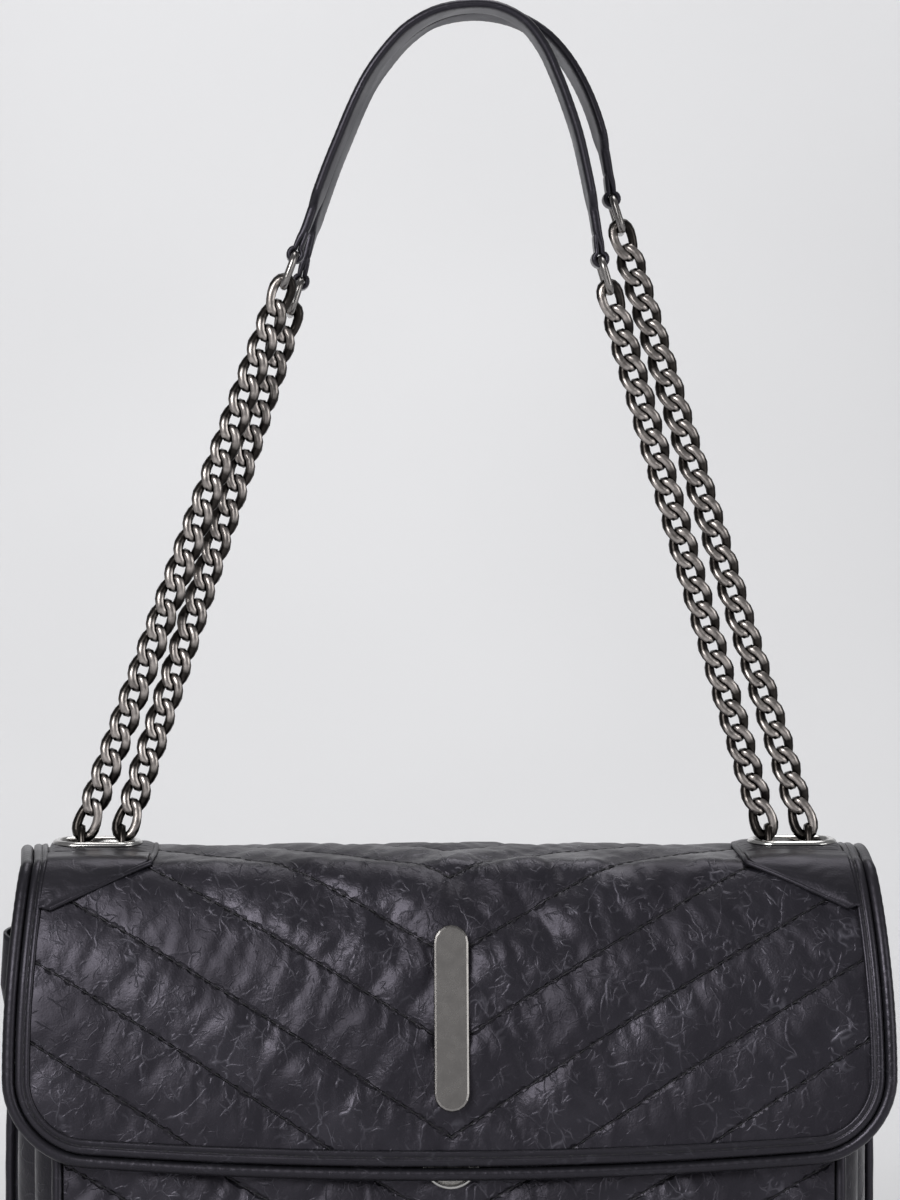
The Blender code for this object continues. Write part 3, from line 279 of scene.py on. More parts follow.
smooth_leather = leather(
    "Smooth black leather", "Object", (0.006, 0.006, 0.0075), (0.032, 0.032, 0.038),
    ((260.0, 4.0, 0.30, 0.06, 0.3), (180.0, 70.0, 0.4, 0.05, 0.1)), 25.0, 0.00004, 0.32)

board_fibre, tree, where = start_material("Base board fibre")
fibres = ramp(tree, noise(tree, where, 400.0, 6.0),
              (0.3, (0.075, 0.066, 0.058)), (0.7, (0.13, 0.115, 0.10)))
surface(tree, {"Roughness": 0.85, "Base Color": fibres})
recoat("base_board", board_fibre)


def rounded(middles, radius, steps):
    """Closed outline of quarter circles round four points, from the first quadrant on."""
    return [(x + radius * math.cos(angle), y + radius * math.sin(angle))
            for turn, (x, y) in enumerate(middles)
            for angle in np.linspace(turn, turn + 1, steps) * math.pi / 2]


base_back, base_front = (width(0.0) - BASE_CORNER for width in (back_half_width, front_half_width))
base_y = float(half_depth(0.0)) + BASE_RIM - BASE_CORNER
base_corners = ((base_back, base_y), (-base_back, base_y), (-base_front, -base_y),
                (base_front, -base_y))
base_section = ((0.004, 0.0), (0.0011, 0.0), (0.0003, 0.0005), (0.0, 0.0013), (0.0002, 0.0024),
                (0.0010, 0.0030), (0.004, 0.0030))
base_points = [(x, y, BASE_Z + height) for inset, height in base_section
               for x, y in rounded(base_corners, BASE_CORNER - inset, CORNER_POINTS)]
base_leather = make_piece(
    "base_leather", base_points, tube_faces(len(base_section), 4 * CORNER_POINTS), smooth_leather)
fit(face_outward(base_leather), "bag_body", "base_panel")

# Quilted sheets
# Two layers of calf with a thin wadding between them, sewn through along V-shaped rows.
# The sheet is made flat, the wadding swells between the rows of stitches, and the pads pucker.

SEAM_PITCH = 0.0255
SEAM_SLOPE = 0.58
CELLS_PER_PAD = 17
PAD_LIMIT = 0.0016
PAD_DIP = 0.0003
SWELLING_FRAMES = 14
STITCH = {"Pitch": 0.0034, "Length": 0.0024, "Thickness": 0.00042}
STITCH_LIFT = 0.0001
FOLD_HEIGHT = 0.0078


def across_and_down(tree, where):
    place = add(tree, "ShaderNodeSeparateXYZ", {0: where}).outputs
    return maths(tree, "ABSOLUTE", place["X"]), place["Y"]


def calmer_sides(tree, where):
    """Share of the relief that is left: the leather lies flatter toward its sides."""
    across, _ = across_and_down(tree, where)
    return ranged(tree, across, 0.020, 0.075, 1.0, 0.45)


def shaded_seam_grooves(tree, where, colour, normal):
    """Puckered grooves along the rows of stitches, darkened with painted shade."""
    across, down = across_and_down(tree, where)
    row = maths(tree, "MULTIPLY_ADD", across, SEAM_SLOPE, down)
    row = maths(tree, "MULTIPLY_ADD", noise(tree, where, 520.0), 0.0009, row)
    from_seam = maths(tree, "PINGPONG", maths(tree, "SUBTRACT", row, 0.00045), SEAM_PITCH / 2)
    pucker = ramp(tree, noise(tree, where, 300.0, 1.0), (0.42, 0.0), (0.62, 1.0))
    width = maths(tree, "MULTIPLY_ADD", pucker, 0.0010, 0.00045)
    groove = ranged(tree, from_seam, 0.0002, width)
    # Painted shade: the grooves' colour is mixed toward near black, standing in for the shade that
    # falls in them.
    colour = mix(tree, groove, (0.0012, 0.0012, 0.0014), colour)
    return colour, bump(tree, groove, 0.8, 0.0005, normal)


crinkled_leather = leather(
    "Crinkled black leather", "UV", (0.0038, 0.0036, 0.0056), (0.074, 0.072, 0.086),
    ((105.0, 95.0, 0.42, 0.026, 0.30), (150.0, 35.0, 0.38, 0.034, 0.22),
     (140.0, -40.0, 0.40, 0.034, 0.22), (230.0, 70.0, 0.45, 0.045, 0.20),
     (260.0, 5.0, 0.45, 0.050, 0.20)), 34.0, 0.00016, 0.36, quilted=True)


def chevron_sheet(reach, low, high, first_seam, edge, straight):
    """Flat grid whose rows run beside the V-shaped seams, and which points lie on a seam.

    Its sides follow edge(s) as far as s = straight, and its ends lie on low and high.
    """
    step = SEAM_PITCH / CELLS_PER_PAD
    first = math.floor((low - first_seam) / step)
    last = math.ceil((high + reach * SEAM_SLOPE - first_seam) / step)
    columns = np.linspace(-1, 1, 2 * round(reach / step) + 1)
    share, row = np.meshgrid(columns, np.arange(first, last + 1))
    across = share * reach
    for _ in range(6):
        along = first_seam + row * step - np.abs(across) * SEAM_SLOPE
        across = share * edge(np.clip(along, low, min(high, straight)))
    inside = (along > low) & (along < high) & (np.abs(across) < edge(along) + 0.00002)

    def cells(grid):
        return np.stack([grid[:-1, :-1], grid[1:, :-1], grid[1:, 1:], grid[:-1, 1:]], -1)

    chosen = cells(inside).sum(-1) > 2
    around = cells(np.arange(inside.size).reshape(inside.shape))
    faces = [cell[kept].tolist() for cell, kept in zip(around[chosen], cells(inside)[chosen])]
    used = np.unique(np.concatenate(faces))
    in_use = np.zeros(inside.shape, bool)
    in_use.flat[used] = True
    for column in np.nonzero(in_use.any(0))[0]:
        top, bottom = np.nonzero(in_use[:, column])[0][[0, -1]]
        if along[top, column] - low < 1.5 * step:
            along[top, column] = low
        if high - along[bottom, column] < 1.5 * step:
            along[bottom, column] = high
    number = np.full(inside.size, -1)
    number[used] = np.arange(len(used))
    flat = np.stack([across.flat[used], along.flat[used]], -1)
    return flat, [number[face].tolist() for face in faces], row.flat[used] % CELLS_PER_PAD == 0


def evaluated(piece):
    return piece.evaluated_get(bpy.context.evaluated_depsgraph_get())


def apply_modifiers(piece):
    """Keeps what a piece's modifiers make of it."""
    bpy.context.view_layer.update()
    made = bpy.data.meshes.new_from_object(evaluated(piece))
    piece.modifiers.clear()
    piece.data = made


def swell_sheet(name, reach, low, high, first_seam, edge, straight=1.0):
    """Quilted sheet, and its points as (x, s, height) after the wadding has swelled."""
    flat, faces, seam = chevron_sheet(reach, low, high, first_seam, edge, straight)
    points = np.stack([flat[:, 0], np.zeros(len(flat)), -flat[:, 1]], -1)
    sheet = make_piece(name, points, faces, crinkled_leather, flat - (0.0, first_seam))
    bm = bmesh.new()
    bm.from_mesh(sheet.data)
    border = [vertex.index for vertex in bm.verts if vertex.is_boundary]
    bm.free()
    sewn = sheet.vertex_groups.new(name="Sewn")
    sewn.add(np.nonzero(seam)[0].tolist() + border, 1.0, "REPLACE")
    cloth = sheet.modifiers.new("Wadding", "CLOTH")
    for key, value in (
            ("quality", 4), ("tension_stiffness", 15), ("compression_stiffness", 15),
            ("shear_stiffness", 5), ("bending_stiffness", 0.5),
            ("vertex_group_mass", sewn.name), ("use_pressure", True),
            ("uniform_pressure_force", 150), ("shrink_min", -0.015)):
        setattr(cloth.settings, key, value)
    cloth.settings.effector_weights.gravity = 0
    cloth.collision_settings.use_collision = False
    cloth.point_cache.frame_start, cloth.point_cache.frame_end = 1, SWELLING_FRAMES
    for moment in range(1, SWELLING_FRAMES + 1):
        scene.frame_set(moment)
    moved = values_of(evaluated(sheet).data.vertices, "co", 3)
    moved[:, 1] = np.clip(moved[:, 1], -PAD_LIMIT, PAD_DIP)
    sheet.modifiers.remove(cloth)
    sheet.data.vertices.foreach_set("co", moved.ravel())
    scene.frame_set(1)
    finer = sheet.modifiers.new("Finer", "SUBSURF")
    finer.levels = finer.render_levels = 1
    finer.boundary_smooth = "PRESERVE_CORNERS"
    finer.uv_smooth = "NONE"
    apply_modifiers(sheet)
    place = values_of(sheet.data.vertices, "co", 3)
    return sheet, np.stack([place[:, 0], -place[:, 2], -place[:, 1]], -1)


draws = np.random.default_rng(11)
FOLDS = [(math.radians(draws.normal(90, 42)), draws.uniform(0.011, 0.034), draws.uniform(0, 6.3),
          draws.uniform(0.035, 0.080), draws.uniform(0, 6.3)) for _ in range(20)]


def rumple(x, s):
    """Soft folds of a full, handled quilt: they mostly run down it, deepest at its middle."""
    height = np.zeros(np.shape(x))
    bent_x = x + 0.0045 * np.sin(95 * s + 1.3) + 0.0025 * np.sin(230 * s + 150 * x)
    for angle, wave, phase, reach, beat in FOLDS:
        across = bent_x * math.sin(angle) + s * math.cos(angle)
        aside = x * math.cos(angle) + s * math.sin(angle) + 0.5 * across
        swell = 0.5 + 0.5 * np.sin(2 * np.pi * aside / reach + beat)
        height = height + wave * swell ** 1.5 * np.sin(2 * np.pi * across / wave + phase)
    return height * FOLD_HEIGHT * (0.36 + 0.98 * np.exp(-(x / 0.055) ** 2))


def lay_on(sheet, place, form):
    """Bends the flat sheet (x, s, height) onto form(x, s, height)."""
    sheet.data.vertices.foreach_set("co", form(*place.T).ravel())
    sheet.data.update()


def start_tree(name, numbers):
    """Node tree that makes a piece on points, and its inputs: points, numbers and a finish."""
    tree = bpy.data.node_groups.new(name, "GeometryNodeTree")
    kinds = {"Points": "Geometry", **dict.fromkeys(numbers, "Float"), "Finish": "Material"}
    for label, kind in kinds.items():
        socket = tree.interface.new_socket(label, in_out="INPUT", socket_type=f"NodeSocket{kind}")
        if label in numbers:
            socket.default_value = numbers[label]
    tree.interface.new_socket(name, in_out="OUTPUT", socket_type="NodeSocketGeometry")
    return tree, add(tree, "NodeGroupInput").outputs


def copies(tree, points, shape, **inputs):
    """Real copies of a shape on points."""
    put = add(tree, "GeometryNodeInstanceOnPoints", {"Points": points, "Instance": shape, **inputs})
    return add(tree, "GeometryNodeRealizeInstances", {0: put.outputs[0]}).outputs[0]


def end_tree(tree, geometry, given, smooth=True):
    if smooth:
        geometry = add(tree, "GeometryNodeSetShadeSmooth", {"Geometry": geometry}).outputs[0]
    painted = add(tree, "GeometryNodeSetMaterial", {
        "Geometry": geometry, "Material": given["Finish"]})
    add(tree, "NodeGroupOutput", {0: painted.outputs[0]})
    return tree


def combined(tree, *values):
    return add(tree, "ShaderNodeCombineXYZ", enumerate(values)).outputs[0]


def stitch_tree():
    """Short thread stitches along a path, each lying in the groove that it pulls in."""
    tree, given = start_tree("Stitches", STITCH)
    curve = add(tree, "GeometryNodeMeshToCurve", {"Mesh": given["Points"]})
    spaced = add(tree, "GeometryNodeResampleCurve", {
        "Curve": curve.outputs[0], "Length": given["Pitch"]}, mode="LENGTH")
    ball = add(tree, "GeometryNodeMeshUVSphere", {"Segments": 6, "Rings": 4, "Radius": 0.5})
    tangent = add(tree, "GeometryNodeInputTangent").outputs[0]
    turn = add(tree, "FunctionNodeAlignRotationToVector", {"Vector": tangent}, axis="Z")
    size = combined(tree, given["Thickness"], given["Thickness"], given["Length"])
    made = copies(tree, spaced.outputs[0], ball.outputs[0], Rotation=turn.outputs[0], Scale=size)
    return end_tree(tree, made, given)


def grow(name, points, edges, tree, values, attributes=()):
    """Piece made by a node tree on points, with the tree's named values."""
    piece = make_piece(name, points, (), edges=edges)
    for label, kind, rows in attributes:
        layer = piece.data.attributes.new(label, kind, "POINT")
        layer.data.foreach_set(
            "vector" if kind == "FLOAT_VECTOR" else "value", np.asarray(rows, float).ravel())
    maker = piece.modifiers.new("Maker", "NODES")
    maker.node_group = tree
    for socket in tree.interface.items_tree:
        if socket.in_out == "INPUT" and socket.name in values:
            maker[socket.identifier] = values[socket.name]
    apply_modifiers(piece)
    return piece


thread, tree, where = start_material("Waxed black thread")
surface(tree, {"Base Color": (0.010, 0.010, 0.012), "Roughness": 0.55,
               "Normal": bump(tree, noise(tree, where, 3000.0), 0.5, 0.0001)})
stitches = stitch_tree()


def sew(name, paths, stitch=STITCH):
    """Stitches along several rows of points, as one piece."""
    points, edges = [], []
    for path in paths:
        edges += [(i, i + 1) for i in range(len(points), len(points) + len(path) - 1)]
        points += list(path)
    return grow(name, points, edges, stitches, {**stitch, "Finish": thread})


def seam_paths(form, reach, low, high, first_seam, edge):
    """Rows of points along the seams of a sheet, one for each leg of each V."""
    paths = []
    first = math.floor((low - first_seam) / SEAM_PITCH)
    last = math.ceil((high + reach * SEAM_SLOPE - first_seam) / SEAM_PITCH)
    for number in range(first, last + 1):
        for side, _ in SIDES:
            x = side * np.linspace(0.0005, reach, 160)
            s = first_seam + number * SEAM_PITCH - np.abs(x) * SEAM_SLOPE
            kept = (s > low) & (s < high) & (np.abs(x) < edge(s))
            if kept.sum() > 3:
                paths.append(form(x[kept], s[kept], np.full(kept.sum(), STITCH_LIFT)))
    return paths

# Front panel
# The lower wall under the flap: one quilted sheet, bound at its mouth and piped down both sides.
# It bows forward a little where the bag is full.

FRONT_REACH = 0.121
FRONT_SEAM = MOUTH_HEIGHT - 0.1345
FRONT_BOW = 0.003
ROLL_RADIUS = 0.0017
ROLL_OFFSET = 0.0019
WALL_FOOT = 0.0035


def front_bow(x, z):
    """How far the middle of the front stands out at a place on it."""
    rise = np.sin(np.pi * np.clip(z / MOUTH_HEIGHT, 0.0, 1.0))
    return FRONT_BOW * (1 - (x / front_half_width(z)) ** 2) * rise


def front_form(x, s, height):
    """Outer face of the front panel, s below its mouth."""
    z = MOUTH_HEIGHT - s
    inside = np.clip((0.119 - np.abs(x)) / 0.015, 0.0, 1.0)
    inside = inside * np.clip(s / 0.01, 0.0, 1.0) * np.clip(z / 0.01, 0.0, 1.0)
    folds = rumple(x + 0.31, s) * 0.7 * inside
    y = -half_depth(z) - front_bow(x, z) - 0.0012 - height - folds
    sag = 0.002 * np.cos(np.pi * x / 0.242) * np.clip(1 - s / 0.05, 0.0, 1.0)
    return np.stack([x, y, z - sag + BASE_Z], -1)


def front_edge(s):
    return front_half_width(MOUTH_HEIGHT - s) - 0.0002


front_leather, front_place = swell_sheet(
    "front_leather", FRONT_REACH, 0.0002, MOUTH_HEIGHT - 0.0036, FRONT_SEAM, front_edge)
lay_on(front_leather, front_place, front_form)
fit(front_leather, "bag_body", "front_panel")
front_stitches = sew("front_stitches", seam_paths(
    front_form, FRONT_REACH, 0.002, MOUTH_HEIGHT - 0.006, FRONT_SEAM, front_edge))
fit(front_stitches, "bag_body")


def directions(line):
    ahead = np.gradient(line, axis=0)
    return ahead / np.linalg.norm(ahead, axis=1)[:, None]


def walk(line):
    """Distance along a line up to each of its points."""
    return np.concatenate([[0.0], np.cumsum(np.linalg.norm(np.diff(line, axis=0), axis=1))])


def roll(name, path, radius, sides=12, wobble=0.0):
    """Rolled leather piping along a row of points, closed at both ends."""
    ahead = directions(path)
    guide = np.array((0.0, 1.0, 0.0) if abs(ahead[0, 1]) < 0.9 else (1.0, 0.0, 0.0))
    side = np.empty_like(path)
    for spot, direction in enumerate(ahead):
        guide = guide - direction * guide.dot(direction)
        guide = guide / np.linalg.norm(guide)
        side[spot] = guide
    up = np.cross(side, ahead)
    angles = np.arange(sides) * 2 * np.pi / sides
    swelling = 1 + wobble * np.sin(walk(path) / 0.0034 * np.pi) ** 2
    points = [centre + r * radius * (math.cos(a) * s + math.sin(a) * u)
              for centre, s, u, r in zip(path, side, up, swelling) for a in angles]
    return face_outward(make_piece(name, points, tube_faces(len(path), sides), smooth_leather))


def pipe_sides(wall, half_width, facing, heights):
    """Piping up both sides of the front or the back wall."""
    for side, label in SIDES:
        x = side * (half_width(heights) + ROLL_OFFSET)
        line = np.stack([x, facing * half_depth(heights), heights + BASE_Z], -1)
        piping = roll(f"{label}_{wall}_roll", line, ROLL_RADIUS, wobble=0.05)
        fit(piping, "bag_body", f"{label}_{wall}_piping")


pipe_sides("front", front_half_width, -1, np.linspace(WALL_FOOT, MOUTH_HEIGHT, 60))
mouth_x = np.linspace(-FRONT_REACH, FRONT_REACH, 90)
mouth_line = front_form(mouth_x, np.full(90, -0.0022), np.full(90, -0.0012))
fit(roll("mouth_roll", mouth_line, ROLL_RADIUS, wobble=0.05), "bag_body",
    "mouth_binding")

# Gussets
# Soft side walls that fold in two outward pleats between the front and back panels.
# The pleats are deeper at the mouth, and creases run down them.

GUSSET_TOPS = (0.157, 0.176)
GUSSET_INSET = (0.003, 0.0025)
PLEAT_DEPTH = 0.009
GUSSET_BULGE = 0.0078

gusset_leather = leather(
    "Gusset leather", "Object", (0.006, 0.006, 0.0075), (0.045, 0.045, 0.052),
    ((140.0, 90.0, 0.3, 0.05, 0.3), (260.0, 20.0, 0.4, 0.06, 0.2)), 30.0, 0.00010, 0.26)


def grid_piece(name, form, across, along, material, kept=None, flip=False):
    """Open sheet of form(u, v) over rows of u and v, without the faces that kept leaves out."""
    u, v = np.meshgrid(across, along, indexing="ij")
    points = form(u.ravel(), v.ravel())
    faces = []
    for i in range(len(across) - 1):
        for j in range(len(along) - 1):
            middle = (across[i] + across[i + 1]) / 2, (along[j] + along[j + 1]) / 2
            if kept is None or kept(*middle):
                a = i * len(along) + j
                face = (a, a + len(along), a + len(along) + 1, a + 1)
                faces.append(face[::-1] if flip else face)
    used = np.unique(faces)
    number = np.full(len(points), -1)
    number[used] = np.arange(len(used))
    return make_piece(name, points[used], number[np.asarray(faces)], material)


def thicken(piece, thickness, offset=0.0):
    wall = piece.modifiers.new("Thickness", "SOLIDIFY")
    wall.thickness, wall.offset = thickness, offset
    return piece


def gusset_form(side):
    """Gusset from the front edge (u = 0) to the back edge (u = 1), v up the wall."""
    front_top, back_top = GUSSET_TOPS
    inset_x, inset_y = GUSSET_INSET

    def form(u, v):
        z = WALL_FOOT + (front_top + (back_top - front_top) * u - WALL_FOOT) * v
        start_x, end_x = front_half_width(z) - inset_x, back_half_width(z) - inset_x
        share = start_x / front_half_width(z)
        bow = FRONT_BOW * (1 - share ** 2) * np.sin(np.pi * z / MOUTH_HEIGHT)
        start_y, end_y = -half_depth(z) - bow + inset_y, half_depth(z) - inset_y
        drift = 0.012 * np.sin(7.0 * v + side) * np.sin(np.pi * u)
        wave = np.sin(2 * np.pi * (u + drift)) ** 2
        pleat = PLEAT_DEPTH * (1 - 0.5 * u) * wave * (0.80 + 0.25 * v)
        broken = np.sin(np.pi * u) * np.sin(5 * v + 2 * u) ** 2
        crease = 0.0005 * np.sin(23 * u + 9 * v + side) * broken
        bulge = GUSSET_BULGE * np.sin(np.pi * np.clip((u - 0.38) / 0.62, 0.0, 1.0))
        bulge = bulge * np.clip((v - 0.66) / 0.24, 0.0, 1.0) ** 1.2
        turned_out = np.clip((np.abs(u - 0.5) - 0.46) / 0.04, 0.0, 1.0)
        x = start_x + (end_x - start_x) * u + pleat + crease + bulge + 0.0034 * turned_out
        y = start_y + (end_y - start_y) * u + 0.0018 * turned_out * np.sign(u - 0.5)
        return np.stack([side * x, y, z + BASE_Z], -1)
    return form


for side, label in SIDES:
    gusset = thicken(grid_piece(
        f"{label}_gusset_leather", gusset_form(side), np.linspace(0.0, 1.0, 97),
        np.linspace(0.0, 1.0, 111), gusset_leather, flip=side > 0), 0.0014)
    fit(gusset, "bag_body", f"{label}_gusset")

# Back, top and flap
# One quilted sheet runs up the back, forward over the top and down the front as the flap.
# It bends in its own leather at the front fold, where the flap lifts.

HINGE = np.array((-0.026, 0.1945))
HEM = np.array((-0.0467, HINGE[1] - 0.0860))
TOP_EDGE = 0.12975
BACK_EDGE = 0.1322
BACK_TOP = 0.186
SHELL_REACH = 0.139
FLAP_CORNER = 0.021
FLAP_TRIM = 0.0015
FLAP_FLARE = 0.0050
FLAP_BOW = 0.0015
HEM_SAG = 0.006
SKIN = 0.0011
SIDE_PAD_SHARE = 0.55
FULL_REACH = 0.062
FIRST_SEAM = 0.0065
FOLD_S = -0.0090
FOLD = ("bag_body", "flap", (0.0, -0.020, -0.273), (0.0, -0.033, -0.273))


def bezier(a, b, c, d):
    t = np.linspace(0.0, 1.0, 200)[:, None]
    return (1 - t) ** 3 * a + 3 * (1 - t) ** 2 * t * b + 3 * (1 - t) * t ** 2 * c + t ** 3 * d


back_z = np.linspace(0.0033, BACK_TOP, 120)
back_line = np.stack([half_depth(back_z), back_z], -1)
top_start = np.array((float(half_depth(BACK_TOP)), 0.1863))
top_end = np.array((HINGE[0] + 0.0024, HINGE[1]))
top_rise = np.array((math.cos(math.radians(10)), math.sin(math.radians(10)))) * 0.016
top_line = bezier(top_start, top_start + (0.0, 0.0164), top_end + top_rise, top_end)
flap_line = bezier(HINGE, HINGE + (-0.009, -0.002), HEM + (0.0011, 0.050), HEM)
behind = np.concatenate([back_line, top_line[1:], [HINGE]])
BEHIND = walk(behind)[-1]
FLAP_LENGTH = walk(flap_line)[-1]
BACK_LENGTH = walk(back_line)[-1]
BACK_FOLD_S = -BEHIND + BACK_LENGTH
course = np.concatenate([behind, flap_line[1:]])
course_s = walk(course) - BEHIND
even_s = np.linspace(course_s[0], course_s[-1], 900)
even = np.stack([np.interp(even_s, course_s, course[:, i]) for i in range(2)], -1)
soften = np.hanning(23) / np.hanning(23).sum()
even = np.concatenate([2 * even[0] - even[11:0:-1], even, 2 * even[-1] - even[-2:-13:-1]])
even = np.stack([np.convolve(even[:, i], soften, "valid") for i in range(2)], -1)
slope = directions(even)


def flap_half_width(s):
    share = np.clip(s / (0.75 * FLAP_LENGTH), 0.0, 1.0)
    return TOP_EDGE + FLAP_FLARE * np.sin(share * np.pi / 2)


def shell_form(x, s, height):
    """Outer face of the back, the top or the flap, s down from the fold, raised by height."""
    y, z, ty, tz = (np.interp(s, even_s, row) for row in (*even.T, *slope.T))
    run = np.clip(s / FLAP_LENGTH, 0.0, 1.1)
    half = flap_half_width(s)
    share = np.clip(1 - (x / half) ** 2, 0.0, 1.0)
    out = height + SKIN + FLAP_BOW * share * np.sin(np.pi * np.clip(run, 0.0, 1.0))
    inside = np.clip((half - np.abs(x)) / 0.020, 0.0, 1.0)
    inside = inside * np.clip((FLAP_LENGTH - s) / 0.020, 0.0, 1.0)
    out = out + rumple(x, s) * inside * np.clip((s + 0.030) / 0.030, 0.25, 1.0)
    sag = HEM_SAG * share * run ** 2
    beyond = np.clip(s - FLAP_LENGTH, 0.0, None)
    return np.stack([x, y + tz * out + ty * beyond, z - ty * out - sag + tz * beyond + BASE_Z], -1)


def flap_corner_edge(s, inset):
    """Half width of the flap, inset from its edge, with its rounded lower corners."""
    radius = FLAP_CORNER - inset
    left = np.clip(FLAP_LENGTH - inset - s, 0.0, radius)
    return flap_half_width(s) - inset - radius + np.sqrt(radius ** 2 - (radius - left) ** 2)


def shell_edge(s):
    share = np.clip((s + BEHIND - BACK_LENGTH) / 0.040, 0.0, 1.0)
    back = back_half_width(np.interp(s, even_s, even[:, 1])) - 0.0002
    body = np.where(share > 0, BACK_EDGE + (TOP_EDGE - FLAP_TRIM - BACK_EDGE) * share, back)
    return np.where(s > 0.0, flap_corner_edge(s, FLAP_TRIM), body)


shell, shell_place = swell_sheet(
    "shell", SHELL_REACH, -BEHIND + 0.0004, FLAP_LENGTH - FLAP_TRIM, FIRST_SEAM, shell_edge,
    FLAP_LENGTH - 0.022)
fullness = np.exp(-(shell_place[:, 0] / FULL_REACH) ** 2)
shell_place[:, 2] *= SIDE_PAD_SHARE + (1 - SIDE_PAD_SHARE) * fullness
lay_on(shell, shell_place, shell_form)
shell_normals = values_of(shell.data.vertex_normals, "vector", 3)
shell_faces = values_of(shell.data.polygons, "vertices", 4, int)
shell_points = values_of(shell.data.vertices, "co", 3)

EYELET_X = 0.111
EYELET_Y = -0.002
EYELET_LENGTH = 0.023
EYELET_WIDTH = 0.011
TOP_HOLE = 0.0016


def outside_eyelets(points, growth):
    """True for points outside the oval holes of both eyelets, grown outward."""
    run = np.abs(np.abs(points[:, 0]) - EYELET_X) - (EYELET_LENGTH - EYELET_WIDTH) / 2
    return np.hypot(np.clip(run, 0.0, None), points[:, 1] - EYELET_Y) > EYELET_WIDTH / 2 + growth


def part_of_shell(name, chosen):
    """Piece of the shell that keeps the shell's own shading at its cut edges."""
    used, faces = np.unique(shell_faces[chosen], return_inverse=True)
    piece = make_piece(name, shell_points[used], faces.reshape(-1, 4), crinkled_leather,
                       shell_place[used, :2] - (0.0, FIRST_SEAM))
    piece.data.normals_split_custom_set_from_vertices(shell_normals[used].tolist())
    return piece


face_s = shell_place[shell_faces, 1].mean(1)
face_open = outside_eyelets(shell_points[shell_faces].mean(1), TOP_HOLE)
on_back, on_flap = face_s <= BACK_FOLD_S, face_s > FOLD_S
on_top = ~on_back & ~on_flap & (face_open | (face_s < -0.060))
for name, chosen, body, node in (
        ("back_leather", on_back, "bag_body", "back_panel"),
        ("top_leather", on_top, "bag_body", "top_panel"),
        ("flap_leather", on_flap, FOLD, "flap_panel")):
    fit(part_of_shell(name, chosen), body, node)
bpy.data.objects.remove(shell)

for name, low, high, body in (
        ("back_and_top_stitches", -BEHIND + 0.002, -0.012, "bag_body"),
        ("flap_stitches", -0.012, FLAP_LENGTH - 0.004, FOLD)):
    paths = seam_paths(shell_form, SHELL_REACH, low, high, FIRST_SEAM, shell_edge)
    fit(sew(name, paths), body)

# Back piping
# Rolled edges down both sides of the back, sewn in between the back and the gussets.
# They are covered with the same smooth leather as the front piping.

pipe_sides("back", back_half_width, 1, np.linspace(WALL_FOOT, BACK_TOP, 70))

# Linings and pocket
# Grosgrain cloth glued to the front and the back, with a flat pocket hung behind a zip.
# The cloth is turned under at its edges and round the zip's window.

lining_cloth, tree, where = start_material("Lining grosgrain")
ribs = add(tree, "ShaderNodeTexWave", {
    "Vector": where, "Scale": 330.0, "Distortion": 0.6, "Detail": 1.0}, bands_direction="Z")
warp = add(tree, "ShaderNodeTexWave", {
    "Vector": where, "Scale": 700.0, "Distortion": 0.8}, bands_direction="X")
ribs, warp = ribs.outputs["Fac"], warp.outputs["Fac"]
shade = ramp(tree, noise(tree, where, 45.0, 3.0),
             (0.3, (0.035, 0.034, 0.037)), (0.7, (0.062, 0.060, 0.064)))
surface(tree, {
    "Base Color": mix(tree, 0.5, shade, ramp(tree, ribs, (0.1, 0.35), (0.6, 1.0)), "MULTIPLY"),
    "Normal": bump(tree, warp, 0.4, 0.00006, bump(tree, ribs, 0.6, 0.00015)), "Roughness": 0.8})

LINING_FOOT = 0.0052
ZIP_Z = 0.148
ZIP_HALF = 0.0756
ZIP_WINDOW = 0.0058
LINING_HALF = 0.1315
POCKET_HALF = 0.084
POCKET_FOOT = 0.060
POCKET_HEIGHT = 0.0984
POCKET_SWELL = 0.0009


def front_lining_form(u, z):
    x = u * (front_half_width(z) - 0.006)
    ripple = 0.0002 * np.sin(41 * u + 60 * z) * np.sin(np.pi * np.clip(z / MOUTH_HEIGHT, 0, 1))
    return np.stack([x, -half_depth(z) - front_bow(x, z) + 0.0026 + ripple, z + BASE_Z], -1)


front_lining = thicken(grid_piece(
    "front_lining_cloth", front_lining_form, np.linspace(-1, 1, 81),
    np.linspace(LINING_FOOT, 0.1576, 61), lining_cloth, flip=True), 0.0007)
fit(front_lining, "bag_body", "front_lining")


def back_lining_form(x, z):
    half = back_half_width(z) - 0.009
    return np.stack([x * half / LINING_HALF, half_depth(z) - 0.0050, z + BASE_Z], -1)


def steps(*spans):
    """Rising row of numbers through spans of (start, end, count)."""
    return np.unique(np.concatenate([np.linspace(*span) for span in spans]))


zip_low, zip_high = ZIP_Z - ZIP_WINDOW, ZIP_Z + ZIP_WINDOW
back_lining = thicken(grid_piece(
    "back_lining_cloth", back_lining_form,
    steps((-LINING_HALF, -ZIP_HALF, 24), (-ZIP_HALF, ZIP_HALF, 60), (ZIP_HALF, LINING_HALF, 24)),
    steps((LINING_FOOT, zip_low, 50), (zip_low, zip_high, 6), (zip_high, 0.174, 12)), lining_cloth,
    lambda x, z: abs(x) > ZIP_HALF or abs(z - ZIP_Z) > ZIP_WINDOW), 0.0007)
fit(back_lining, "bag_body", "back_lining")


def pocket_form(half_thickness):
    def form(x, z):
        height = np.clip((z - POCKET_FOOT) / POCKET_HEIGHT, 0, 1)
        swell = (1 - (x / POCKET_HALF) ** 2) * np.sin(np.pi * height)
        y = half_depth(z) - 0.0028 - half_thickness * np.clip(swell, 0.0, 1.0) ** 0.4
        return np.stack([x, y, z + BASE_Z], -1)
    return form


